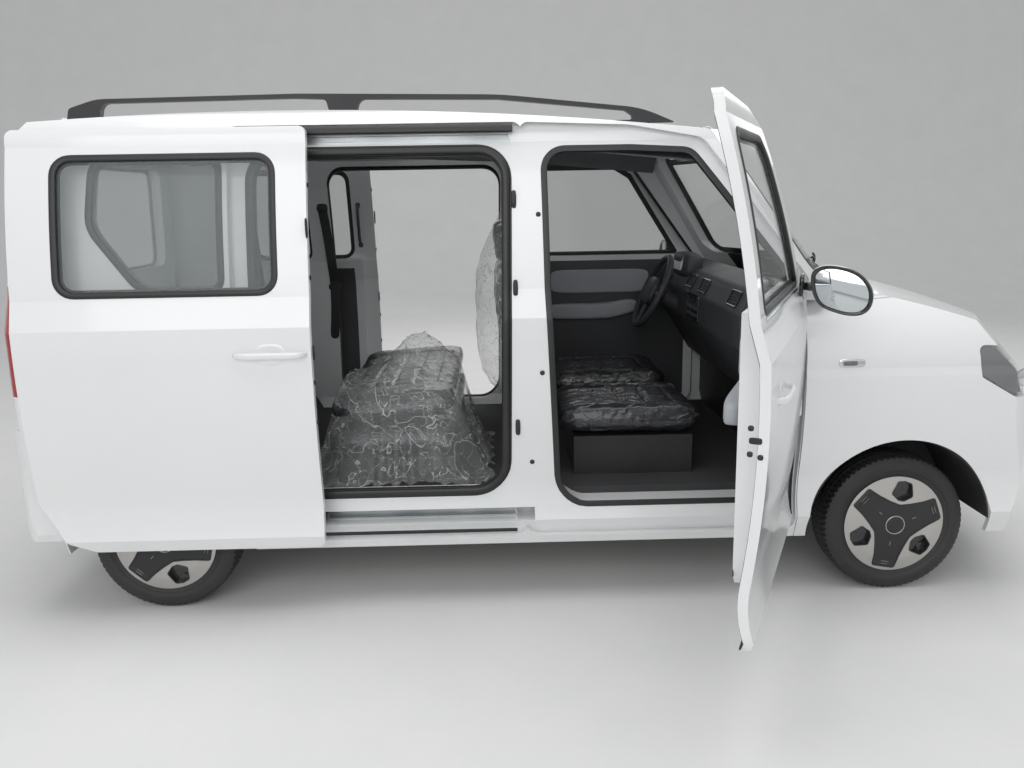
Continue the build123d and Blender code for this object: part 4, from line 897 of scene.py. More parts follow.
NODE_FINISHES = {
    WHITE_PAINT: "side_frame_right side_frame_left roof_panel sliding_door_right sliding_door_left "
    "fender_right fender_left front_bumper rear_bumper front_door_right front_door_left bonnet tailgate",
    WINDOW_GLASS: "fixed_glass sliding_door_glass front_door_right_glass front_door_left_glass "
    "tailgate_glass",
    LAMP_COVER: "headlamps",
    LAMP_RED: "tail_lamps",
    FLOOR_CARPET: "floor_pan rear_floor",
    TRIM_BLACK: "roof_rails bulkhead",
    GLOSS_BLACK: "front_door_right_mirror front_door_left_mirror",
    CHASSIS_BLACK: "front_frame front_suspension rear_axle seat_frames knuckle_right knuckle_left",
    BATTERY_CASE: "battery_pack drive_unit",
    DASH_GREY: "dashboard steering_wheel",
    TRACK_METAL: "door_tracks",
    BARE_STEEL: "door_rollers",
    WHEEL_SILVER: "wheel_front_right wheel_front_left wheel_rear_right wheel_rear_left",
}


# Putting pieces into the frame


class Workshop:
    """Makes named pieces from forms and hangs them on the CAD bodies."""

    def __init__(self, centre: float) -> None:
        """Keeps the van's middle.

        Args:
            centre: y of the centreline in the row frame, in metres.
        """
        self.centre = centre
        self.made: list[str] = []

    def to_row(self, points: Array, side: Side, hang: Hang) -> Array:
        """Points drawn on the closed body, where they stand at rest.

        Sliding doors move back and out; the open door turns about its hinge.

        Args:
            points: (forward, outward, upward), in millimetres.
            side: which side outward points to.
            hang: what carries the piece.

        Returns:
            Places in the row frame, in metres.
        """
        x, out, z = points.T
        if hang is Hang.SLID:
            x, out = x - SLIDE_BACK, out + SLIDE_OUT
        y = out * side.value
        if hang is Hang.SWUNG:
            from_hinge = np.stack([x, y]) - DOOR_HINGE[:, None]
            cos, sin = math.cos(DOOR_TURN), math.sin(DOOR_TURN)
            x, y = np.array([[cos, -sin], [sin, cos]]) @ from_hinge + DOOR_HINGE[:, None]
        return np.stack([x / 1000, y / 1000 + self.centre, z / 1000], 1)

    def put(
        self,
        name: str,
        form: Form,
        finish: Finish,
        body: str,
        slot: str,
        side: Side = Side.LEFT,
        hang: Hang = Hang.FIXED,
        angle: float = 38.0,
    ) -> bpy.types.Object:
        """Makes one piece.

        Args:
            name: the piece's name.
            form: its mesh.
            finish: its finish.
            body: the CAD body that it rides on.
            slot: the record's material slot; not used.
            side: the side it is on.
            hang: what carries it.
            angle: edges sharper than this stay crisp, in degrees.

        Returns:
            The new object.
        """
        mesh = bpy.data.meshes.new(name)
        mesh.from_pydata(self.to_row(form.points, side, hang).tolist(), [], form.faces)
        work = bmesh.new()
        work.from_mesh(mesh)
        bmesh.ops.remove_doubles(work, verts=work.verts, dist=2e-6)
        bmesh.ops.dissolve_degenerate(work, edges=work.edges, dist=1e-6)
        bmesh.ops.recalc_face_normals(work, faces=work.faces)
        work.to_mesh(mesh)
        work.free()
        mesh.shade_smooth()
        mesh.set_sharp_from_angle(angle=math.radians(angle))
        piece = bpy.data.objects.new(name, mesh)
        bpy.context.scene.collection.objects.link(piece)
        mesh.materials.append(finish.material())
        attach(piece, body)
        self.made.append(name)
        return piece


@dataclass
class SubAssembly:
    """What every sub-assembly has: the workshop that makes its pieces."""

    shop: Workshop

    def build(self) -> None:
        """Makes the pieces."""
        raise NotImplementedError


# The painted body and its seals


@dataclass
class CadFinishes(SubAssembly):
    """The CAD nodes, which keep their shape and get a better material."""

    nodes: dict

    def build(self) -> None:
        """Assigns each node's finish to its slots."""
        for finish, names in NODE_FINISHES.items():
            for name in names.split():
                for slot in self.nodes[name].material_slots:
                    slot.material = finish.material()
                self.shop.made.append(name)


SLIDING_WINDOW = ([(-958.5, 1222), (-203, 1222), (-203, 1690), (-958.5, 1690)], [60, 60, 60, 60])
QUARTER_WINDOW = (
    [(-1150, 1222), (-1150, 1690), (-1600, 1690), (-1617, 1450), (-1440, 1222)], [45, 45, 60, 120, 110],
)
FRONT_WINDOW = ([(816, 1222), (539, 1640), (454, 1690), (-1, 1690), (-1, 1222)], [12, 40, 60, 45, 35])
FRONT_DOOR = [(926, 283), (934, 1225), (565, 1722), (305, 1769), (-80.5, 1785), (-80.5, 283)]
FRONT_WAY = (
    [(898, 396), (902, 1205), (529, 1692), (315, 1704), (3, 1704), (10, 1215), (45, 396)],
    [80, 20, 60, 150, 70, 0.1, 110],
)
SLIDING_WAY = (
    [(-168, 455), (-145, 1700), (-1040.5, 1700), (-1040.5, 560), (-965.5, 455)], [110, 90, 90, 60, 60],
)


# The windscreen leans back from its foot and bows about a radius; the roof's
# crown is an arc about a line that lies this far below the ground.
SCREEN_FOOT_X = 1215.0
SCREEN_FOOT_Z = 1205.0
SCREEN_BOW = 1700.0
SCREEN_RUN, SCREEN_RISE = 0.613, 0.790
CROWN_DROP = 4240.0


def on_screen(y: Array, z: Array) -> Array:
    """Points of the bowed windscreen at places across and up.

    A point is the foot of the screen, plus its slope times the distance along
    it, less its normal times the bow's sag there.

    Args:
        y: distance from the centreline.
        z: height.

    Returns:
        The points, three numbers a row.
    """
    sag = SCREEN_BOW - np.sqrt(SCREEN_BOW**2 - y**2)
    along = (z - SCREEN_FOOT_Z + SCREEN_RUN * sag) / SCREEN_RISE
    return np.stack([SCREEN_FOOT_X - SCREEN_RUN * along - SCREEN_RISE * sag, y, z], 1)


def door_hang(side: Side) -> Hang:
    """The right front door stands open; the left one is shut."""
    return Hang.SWUNG if side is Side.RIGHT else Hang.FIXED


@dataclass
class WindowSeals(SubAssembly):
    """Black rubber round each pane of glass."""

    width: float = 12.0
    height: float = 8.0
    frit: float = 20.0

    def ring(self, window: tuple, width: float, height: float, lift: float, grow: float = 0.0) -> Form:
        """A rounded bead along a window's outline on the side skin.

        Args:
            window: the corners and their radii.
            width: half width of the bead.
            height: how far it stands.
            lift: height of its foot over the skin.
            grow: moves the outline out (or in, below zero).

        Returns:
            The bead.
        """
        path, normal = SKIN.at(grown(rounded(*window), grow))
        return carried(path, normal, bead(width, height, lift))

    def build(self) -> None:
        """Makes side seals, inner edges, and the windscreen's and tailgate's bands."""
        for side in Side:
            rows = (
                ("sliding_window", SLIDING_WINDOW, "chassis", Hang.SLID),
                ("quarter_window", QUARTER_WINDOW, "chassis", Hang.FIXED),
                ("front_window", FRONT_WINDOW, "front_door_" + side.word, door_hang(side)),
            )
            for word, window, body, hang in rows:
                seal = self.ring(window, self.width, self.height, -5.0, -2.0)
                seal = seal + self.ring(window, self.frit / 2, 3.0, -17.5, -self.frit / 2 - 2)
                self.shop.put(f"{word}_seal_{side.word}", seal, SEAL_BLACK, body, "black_trim", side, hang)
        self.windscreen()
        self.tailgate_window()

    def windscreen(self) -> None:
        """The band round the windscreen, and the darker border inside it."""
        outline = rounded([(-700, 1232), (700, 1232), (572, 1722), (-572, 1722)], 60)
        y, z = outline.T
        path = on_screen(y, z)
        level = np.ones_like(y)
        normal = unit(np.stack([SCREEN_RISE * level, y / SCREEN_BOW, SCREEN_RUN * level], 1))
        border = bead(17, 2.5, -15) - np.array([30, 0])
        seal = carried(path, normal, bead(13, 6, -4)) + carried(path, normal, border)
        self.shop.put("windscreen_seal", seal, SEAL_BLACK, "chassis", "black_trim")

    def tailgate_window(self) -> None:
        """The band round the tailgate's window, on the crowned tail."""
        outline = rounded([(-585, 1225), (585, 1225), (520, 1690), (-520, 1690)], 55)
        y, z = outline.T
        level = np.hypot(y, z + CROWN_DROP) - CROWN_DROP
        x = np.interp(level, [150, 1150, 1790, 1856], [-1945, -1935, -1885, -1830])
        path = np.stack([x, y, z], 1)
        seal = carried(path, np.array([-0.997, 0, 0.08]), bead(12, 7, -4))
        self.shop.put("tailgate_window_seal", seal, SEAL_BLACK, "tailgate", "black_trim")


@dataclass
class WaySeals(SubAssembly):
    """Weatherstrips on the flanges of the door ways."""

    flange_depth: float = 33.0

    def strip(self, way: tuple, beads: list) -> Form:
        """Beads carried round a door way, each with its own reach and depth.

        Args:
            way: the corners and their radii.
            beads: width, height, reach, depth and squareness of each.

        Returns:
            All beads as one form.
        """
        outline = rounded(*way, spacing=12.0)
        path, normal = SKIN.at(outline)
        strips = []
        for width, height, reach, depth, square in beads:
            profile = bead(width, height, -depth, square) + np.array([reach, 0])
            strips.append(carried(path, normal, profile))
        return joined(strips)

    def build(self) -> None:
        """Makes a flat strip for each front way and a full bulb for each sliding one."""
        flat = [(11.5, 2.3, 5.5, 31.4, 0.7), (6.0, 10.0, 1.5, 46.0, 0.8)]
        full = [(13.0, 8.5, 8.0, 27.0, 0.8), (7.0, 11.0, -1.0, 44.0, 0.8), (4.0, 3.0, 25.0, 32.0, 0.8)]
        for side in Side:
            for word, way, beads in (("front", FRONT_WAY, flat), ("sliding", SLIDING_WAY, full)):
                name = f"{word}_way_seal_{side.word}"
                self.shop.put(name, self.strip(way, beads), SEAL_BLACK, "chassis", "black_trim", side)


# Doors


def bar_handle(x: float, z: float, half_length: float, stand: float = 27.0) -> Form:
    """A pull bar whose ends curve into the skin.

    Along the bar (t from -1 to 1) its middle stands off by the stand times
    (1 - t to the eighth), and its section shrinks at the very ends.

    Args:
        x: its middle, lengthwise.
        z: its height.
        half_length: half of its length.
        stand: how far its middle stands off.

    Returns:
        The closed mesh.
    """
    t = np.linspace(-1, 1, 33)
    off = stand * (1 - np.abs(t) ** 7) + 1.0
    path = np.stack([x + half_length * t, SKIN.half(np.full_like(t, z)) + off, np.full_like(t, z)], 1)
    size = 0.62 + 0.38 * (1 - np.abs(t) ** 6)
    section = bead(11.5, 6.5, 0, 0.75, 14)
    across = np.stack([np.zeros(14), section[:, 1], section[:, 0]], 1)
    return loft(path[:, None] + size[:, None, None] * across[None])


def cup(x: float, z: float, half_x: float, half_z: float) -> Form:
    """A shallow dish round a handle: its lip stands proud and its middle doesn't.

    Args:
        x: its middle, lengthwise.
        z: its height.
        half_x: half of its length.
        half_z: half of its height.

    Returns:
        The closed mesh.
    """
    t = np.linspace(0, 1, 9)
    rise = np.array([0.5, 0.55, 0.7, 1.0, 1.5, 2.1, 2.5, 2.2, -1.0])
    angle = np.arange(40) / 40 * 2 * math.pi
    edge = np.stack(
        [half_x * signed_power(np.cos(angle), 0.75), half_z * signed_power(np.sin(angle), 0.75)], 1,
    )
    flat = t[:, None, None] * edge[None]
    skin = SKIN.half(z + flat[..., 1])
    front = np.stack([x + flat[..., 0], skin + rise[:, None], z + flat[..., 1]], -1)
    back = front - np.array([0, 4, 0])
    rings = np.concatenate([front, back[::-1]])
    return Form(rings.reshape(-1, 3), grid_faces(len(rings), 40, wrap_columns=True))


@dataclass
class FrontDoorFittings(SubAssembly):
    """Handles, latches, inner trim, armrests, seals and mirrors of the front doors."""

    inner_face: float = 742.0
    handle: tuple = (150.0, 985.0)
    mirror_place: tuple = (760.0, 955.0, 1209.0)

    def trim(self) -> Form:
        """The inner panel: a thin sheet whose face swells a little towards its middle.

        Returns:
            The closed mesh.
        """
        u, v = np.linspace(0, 1, 20)[:, None], np.linspace(0, 1, 30)[None, :]
        z = 455 + (1195 - 455) * u + 0 * v
        rear, front = 60 - 25 * step(z, 500, 1190), 845 + 0 * z
        x = rear + (front - rear) * v
        swell = 9 * (np.sin(math.pi * u) * np.sin(math.pi * v)) ** 0.4 * (1 - step(x, 560, 680))
        face = np.stack([x, self.inner_face - 1.0 - swell, z], -1)
        return shell(face, face * [1, 0, 1] + np.array([0, self.inner_face + 2, 0]))

    def armrest(self) -> Form:
        """A padded ledge with a pull pocket, crowned in all directions.

        Returns:
            The closed mesh.
        """
        body = pillow((250, 34, 42), 0.45, 16, 40)
        lift = 26 * step(body.points[:, 0], 60, 250)
        body.points[:, 2] += lift
        return body.moved((330, self.inner_face - 24, 925))

    def insert(self) -> Form:
        """The pale padded field above the armrest."""
        return pillow((265, 9, 62), 0.3, 14, 40).moved((380, self.inner_face - 10, 1085))

    def latch(self) -> Form:
        """Latch plate and bolts on the door's trailing edge.

        Returns:
            Plate and bolts as one mesh.
        """
        parts = [pillow((2.5, 17, 9), 0.5).moved((-80, 806, 905))]
        for out, z in ((793, 938), (793, 868), (820, 862)):
            parts.append(pillow((3.5, 8, 8), 0.8, 8, 14).moved((-80, out, z)))
        return joined(parts)

    def mirror(self) -> tuple[Form, Form]:
        """The mirror's head with its foot, and its pane.

        The head is the pane's outline carried forward while it swells and
        then closes: a share of the outline at each depth behind the bezel.

        Returns:
            Head with foot, and pane.
        """
        corners = [
            (-84, 55), (-52, 69), (6, 63), (52, 44), (78, 14), (87, -11), (84, -44), (61, -66), (20, -69),
            (-26, -58), (-61, -44), (-81, -14), (-90, 30),
        ]
        outline = np.array(corners[::-1], float) * [1.14, 1.24]
        for _ in range(3):
            after = np.roll(outline, -1, 0)
            pairs = [0.75 * outline + 0.25 * after, 0.25 * outline + 0.75 * after]
            outline = np.stack(pairs, 1).reshape(-1, 2)
        stack = [
            (0.02, 7), (0.86, 7), (0.88, 4), (0.93, 0), (0.985, 0), (1.0, 5), (1.01, 18), (0.99, 40),
            (0.93, 66), (0.80, 88), (0.58, 104), (0.30, 112), (0.02, 114),
        ]
        rings = [
            np.column_stack([outline * share, np.full(len(outline), -float(depth))]) for share, depth in stack
        ]
        axes = [(0, 1, 0), (0, 0, 1), (-1, 0, 0)]
        head = loft(np.array(rings)).laid(self.mirror_place, axes)
        foot = pillow((24, 44, 17), 0.6, 12, 24).moved((858, 868, 1212))
        base = pillow((44, 9, 40), 0.5, 12, 28).moved((852, 822, 1216))
        pane = plate(grown(outline * 0.87, -1), -4.2, -7.5, 1.0).laid(self.mirror_place, axes)
        return head + foot + base, pane

    def build(self) -> None:
        """Makes the fittings of both doors."""
        for side in Side:
            put = partial(self.fit, side)
            put("front_door_trim", self.trim(), DASH_GREY, "dash_grey")
            put("front_door_armrest", self.armrest(), PALE_PAD, "dash_grey")
            put("front_door_insert", self.insert(), PALE_PAD, "dash_grey")
            put("front_door_latch", self.latch(), TRIM_BLACK, "black_trim")
            x, z = self.handle
            put("front_door_handle", bar_handle(x, z, 105), WHITE_PAINT, "white_paint")
            put("front_door_cup", cup(x, z, 62, 34), WHITE_PAINT, "white_paint")
            sill = carried(*self.sill_line(), bead(5, 4), closed=False)
            put("front_door_garnish", sill, CHROME, "mirror_black")
            head, pane = self.mirror()
            mirror = put("door_mirror", head, GLOSS_BLACK, "mirror_black")
            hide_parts(f"front_door_{side.word}_mirror")
            put("mirror_pane", pane, MIRROR_GLASS, "mirror_black")
            path, normal = SKIN.at(grown(rounded(FRONT_DOOR, 30), -7))
            put("front_door_seal", carried(path, normal, bead(5, 3, -26.5, 0.8)), SEAL_BLACK, "black_trim")

    def fit(self, side: Side, name: str, form: Form, finish: Finish, slot: str) -> bpy.types.Object:
        """Puts one piece on a side's front door."""
        body = "front_door_" + side.word
        return self.shop.put(f"{name}_{side.word}", form, finish, body, slot, side, door_hang(side))

    def sill_line(self) -> tuple[Array, Array]:
        """The bright strip under the front window, and its normals."""
        x = np.linspace(5, 800, 60)
        return SKIN.at(np.stack([x, np.full_like(x, 1206)], 1), -1.0)


@dataclass
class SlidingDoorFittings(SubAssembly):
    """Handles, inner trim and latches of the sliding doors."""

    handle: tuple = (-231.5, 1012.0)

    def trim(self) -> Form:
        """The inner panel, following the door's inner step.

        Returns:
            The closed mesh.
        """
        u, v = np.linspace(0, 1, 16)[:, None], np.linspace(0, 1, 30)[None, :]
        z = 520 + 650 * u + 0 * v
        x = -985 + 775 * v + 0 * u
        out = SKIN.half(z) - 60
        face = np.stack([x, out - 6 * (np.sin(math.pi * u) * np.sin(math.pi * v)) ** 0.4, z], -1)
        return shell(face, face * [1, 0, 1] + np.stack([0 * x, out + 3, 0 * x], -1))

    def fit(self, side: Side, name: str, form: Form, finish: Finish, slot: str) -> bpy.types.Object:
        """Puts one piece on a side's sliding door, which stands slid back."""
        return self.shop.put(f"{name}_{side.word}", form, finish, "chassis", slot, side, Hang.SLID)

    def edge_fittings(self) -> Form:
        """Latches, guide pins and plugs on the leading edge.

        Returns:
            All of them as one mesh.
        """
        parts = [
            pillow((3, 13, 34), 0.5).moved((-88.5, 781, 1440)),
            pillow((3, 13, 26), 0.5).moved((-88.5, 800, 1010)),
        ]
        for z in (1585, 1270, 905, 760):
            parts.append(pillow((3, 9, 9), 0.8, 8, 14).moved((-88.5, float(SKIN.half(z)) - 26, z)))
        return joined(parts)

    def inner_pull(self) -> Form:
        """The upright grab bar beside the window, on the inside.

        Returns:
            Bar and knobs as one mesh.
        """
        t = np.linspace(-1, 1, 25)
        z = 1400 + 105 * t
        path = np.stack([np.full_like(t, -168), SKIN.half(z) - 36 - 30 * (1 - t**6), z], 1)
        ends = [(-168, float(SKIN.half(level)) - 34, level) for level in (1505, 1295)]
        knobs = [pillow((12, 9, 14), 0.7, 10, 18).moved(end) for end in ends]
        return joined([carried(path, (1, 0, 0), bead(8, 8, 0, 1.0), closed=False), *knobs])

    def build(self) -> None:
        """Makes the fittings of both sliding doors."""
        x, z = self.handle
        for side in Side:
            put = partial(self.fit, side)
            put("sliding_door_handle", bar_handle(x, z, 129), WHITE_PAINT, "white_paint")
            put("sliding_door_cup", cup(x, z, 55, 40), WHITE_PAINT, "white_paint")
            put("sliding_door_trim", self.trim(), DASH_GREY, "dash_grey")
            put("sliding_door_latches", self.edge_fittings(), TRIM_BLACK, "black_trim")
            put("sliding_door_pull", self.inner_pull(), DASH_GREY, "dash_grey")


# Wheels


class Corner(Enum):
    """The four wheels: name, axle x, side and the turn of their holes in degrees."""

    FRONT_RIGHT = ("front_right", 1337.5, Side.RIGHT, 80.0)
    FRONT_LEFT = ("front_left", 1337.5, Side.LEFT, 80.0)
    REAR_RIGHT = ("rear_right", -1462.5, Side.RIGHT, 48.0)
    REAR_LEFT = ("rear_left", -1462.5, Side.LEFT, 48.0)


COVER_FACE = np.array([(0, -4), (60, -3), (150, 1), (192, 7)], float)


@dataclass
class Wheel(SubAssembly):
    """One wheel's cover star, cap and detailed tyre."""

    corner: Corner
    axle_z: float = 272.0
    face: float = 785.0
    reach: float = 192.0
    tyre_width: float = 165.0

    def at_wheel(self, flat: Array, depth: Array) -> Array:
        """Points from the wheel's own plane (x, z) and depth below the outer face."""
        axle_x = self.corner.value[1]
        return np.stack([axle_x + flat[..., 0], self.face - depth, self.axle_z + flat[..., 1]], -1)

    def star_outline(self) -> Array:
        """Three arms that widen towards the hub, in (x, z).

        One arm's edge is given by distance along it and half width, as shares
        of the cover's radius; the three arms are turns of it by 120 degrees.

        Returns:
            Points as (x, z) from the axle.
        """
        shares = [
            (0.215, -0.372), (0.42, -0.312), (0.66, -0.262), (0.93, -0.235), (0.93, 0.235), (0.66, 0.262),
            (0.42, 0.312),
        ]
        arm = np.array(shares) * self.reach
        spin = math.radians(self.corner.value[3] + 60)
        turns = spin + np.arange(3) * 2 * math.pi / 3
        cos, sin = np.cos(turns)[:, None], np.sin(turns)[:, None]
        points = np.stack([cos * arm[:, 0] - sin * arm[:, 1], sin * arm[:, 0] + cos * arm[:, 1]], -1)
        return rounded(points.reshape(-1, 2).tolist(), [22, 60, 90, 10, 10, 90, 60] * 3, spacing=4.0)

    def star(self) -> Form:
        """The black star: its outline shrunk to the hub, on the cover's dome.

        Returns:
            The closed mesh.
        """
        outline = self.star_outline()
        share = np.array([0.02, 0.2, 0.4, 0.6, 0.8, 0.90, 0.915, 0.945, 0.985, 1.0, 1.0])
        lift = np.array([0.8, 0.8, 0.8, 0.8, 0.8, 0.8, 2.8, 3.2, 3.0, 1.2, -1.5])
        flat = share[:, None, None] * outline[None]
        depth = np.interp(np.linalg.norm(flat, axis=-1), *COVER_FACE.T) - lift[:, None]
        front = self.at_wheel(flat, depth)
        return loft(front)

    def arm_marks(self) -> Form:
        """A slot and two end lines on each arm, as thin raised bars.

        Returns:
            All marks as one mesh.
        """
        marks = []
        spin = math.radians(self.corner.value[3] + 60)
        for turn in spin + np.arange(3) * 2 * math.pi / 3:
            along = np.array([math.cos(turn), math.sin(turn)])
            across = np.array([-math.sin(turn), math.cos(turn)])
            for middle, half_along, half_across in ((0.40, 9, 1.8), (0.80, 1.3, 16), (0.855, 1.3, 18)):
                bar = pillow((half_along, half_across, 1.0), 0.6, 8, 16).points
                flat = middle * self.reach * along + bar[:, :1] * along + bar[:, 1:2] * across
                depth = np.interp(middle * self.reach, *COVER_FACE.T) - 2.0 - bar[:, 2]
                marks.append(Form(self.at_wheel(flat, depth), grid_faces(8, 16, wrap_columns=True)))
        return joined(marks)

    def pockets(self) -> Form:
        """A black rim round each of the cover's three holes, and a dark floor in it.

        Returns:
            All three as one mesh.
        """
        hole = [(98, -11), (120, -42), (170, -28), (176, 0), (170, 28), (120, 42), (98, 11)]
        parts = []
        for turn in math.radians(self.corner.value[3]) + np.arange(3) * 2 * math.pi / 3:
            cos, sin = math.cos(turn), math.sin(turn)
            outline = rounded(hole, [6, 10, 10, 1, 10, 10, 6], spacing=4.0)
            outline = outline @ np.array([[cos, sin], [-sin, cos]])
            rim, middle = grown(outline, 0.5), outline.mean(0)
            level = np.interp(np.linalg.norm(rim, axis=1), *COVER_FACE.T)
            stack = [(1.02, -1.6), (0.99, -2.2), (0.93, -1.6), (0.88, 6.0), (0.86, 21.0), (0.02, 22.0)]
            rings = [self.at_wheel(middle + (rim - middle) * share, level + sink) for share, sink in stack]
            back = self.at_wheel(middle + (rim - middle) * 0.02, level + 24.0)
            edge = self.at_wheel(rim * 0.985 + middle * 0.015, level + 24.0)
            parts.append(loft(np.array([*rings, back, edge]), closed=True))
        return joined(parts)

    def cap(self) -> tuple[Form, Form]:
        """The bare hub cap and the grey ring round it.

        Returns:
            Cap and ring.
        """
        crown = np.array([(0.0, -9.5), (18, -9.2), (30, -8.0), (33.5, -6.0), (34, -2), (0.0, -2)])
        ring = np.array([(34.2, -7.0), (35.6, -7.6), (37.2, -6.8), (37.6, -3), (34.2, -3)])
        forms = []
        for profile in (crown, ring):
            form = turned(profile, 64)
            forms.append(Form(self.at_wheel(form.points[:, 1:], form.points[:, 0]), form.faces))
        return forms[0], forms[1]

    def tyre(self) -> Form:
        """The tyre: its profile turned about the axle, with ribs and tread cut in.

        Outside radius 264 the surface sinks by a groove depth: three round
        grooves by place across, cross cuts by angle that lean with it, and
        notched shoulder blocks; the sidewall has rings and a serrated band.

        Returns:
            The closed mesh.
        """
        half = np.array([
            (184, 14), (190, 12.5), (196, 11), (201, 10), (205, 8), (208, 6.5), (211, 6.5), (213, 4),
            (220, 1.2), (228, 0), (234, 0.5), (240, 2.0), (246, 3.4), (252, 5.5), (256, 7), (260, 9),
            (264, 11.6), (267.5, 14.6), (270, 18), (271, 23), (271.6, 30),
        ], float)
        tread_depth = np.linspace(36, self.tyre_width / 2, 12)
        tread = np.stack([np.full(12, 272.0), tread_depth], 1)
        near = np.vstack([half, tread])
        far = near[::-1][1:] * [1, -1] + [0, self.tyre_width]
        profile = np.vstack([near, far])
        count = 288
        angle = (np.arange(count) / count * 2 * math.pi)[:, None]
        radius, depth = profile[:, 0][None, :], profile[:, 1][None, :]
        place = (depth - self.tyre_width / 2) / (self.tyre_width / 2)
        crown = radius - 4.0 * np.clip(np.abs(place) - 0.15, 0, 1) ** 2 * (radius > 268)
        round_grooves = sum(np.exp(-(((place - middle) / 0.055) ** 2)) for middle in (-0.36, 0.0, 0.36))
        lean = angle * 36 + 5 * np.abs(place)
        shoulder = np.abs(place) > 0.42
        centre_rib = np.abs(place) < 0.42
        cross = step(np.cos(lean * 2), 0.55, 0.9) * shoulder
        cross = cross + 0.7 * step(np.cos(lean * 2 + 2), 0.7, 0.95) * centre_rib
        sunk = 6.5 * np.clip(round_grooves + cross, 0, 1) * step(radius, 263, 268)
        teeth = 0.7 * step(np.cos(angle * 144), 0.2, 0.8)
        serration = teeth * step(radius, 236, 240) * (1 - step(radius, 250, 254))
        inner = (np.arange(len(profile)) < len(half) + 6)[None, :] * 1.0
        side = np.where(depth < self.tyre_width / 2, 1.0, -1.0)
        out = self.face - depth + serration * side * inner
        full = crown - sunk
        rings = np.stack([
            self.corner.value[1] + full * np.cos(angle),
            np.broadcast_to(out, full.shape),
            self.axle_z + full * np.sin(angle),
        ], -1)
        return Form(rings.reshape(-1, 3), grid_faces(count, len(profile), wrap_rows=True, wrap_columns=True))

    def build(self) -> None:
        """Makes this wheel's pieces, riding with the wheel."""
        word, _, side, _ = self.corner.value
        body = "wheel_" + word
        cap, ring = self.cap()
        self.shop.put("cover_star_" + word, self.star(), TRIM_BLACK, body, "black_trim", side)
        self.shop.put("cover_marks_" + word, self.arm_marks(), BATTERY_CASE, body, "black_trim", side)
        self.shop.put("cover_pockets_" + word, self.pockets(), GLOSS_BLACK, body, "black_trim", side)
        self.shop.put("hub_cap_" + word, cap, TRIM_BLACK, body, "black_trim", side)
        self.shop.put("hub_ring_" + word, ring, WHEEL_SILVER, body, "wheel_silver", side)
        tyre = self.shop.put(
            "road_tyre_" + word, self.tyre(), TYRE_RUBBER, body, "tyre_rubber", side, angle=30,
        )
        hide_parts("tyre_" + word)


# Lamps and body fittings


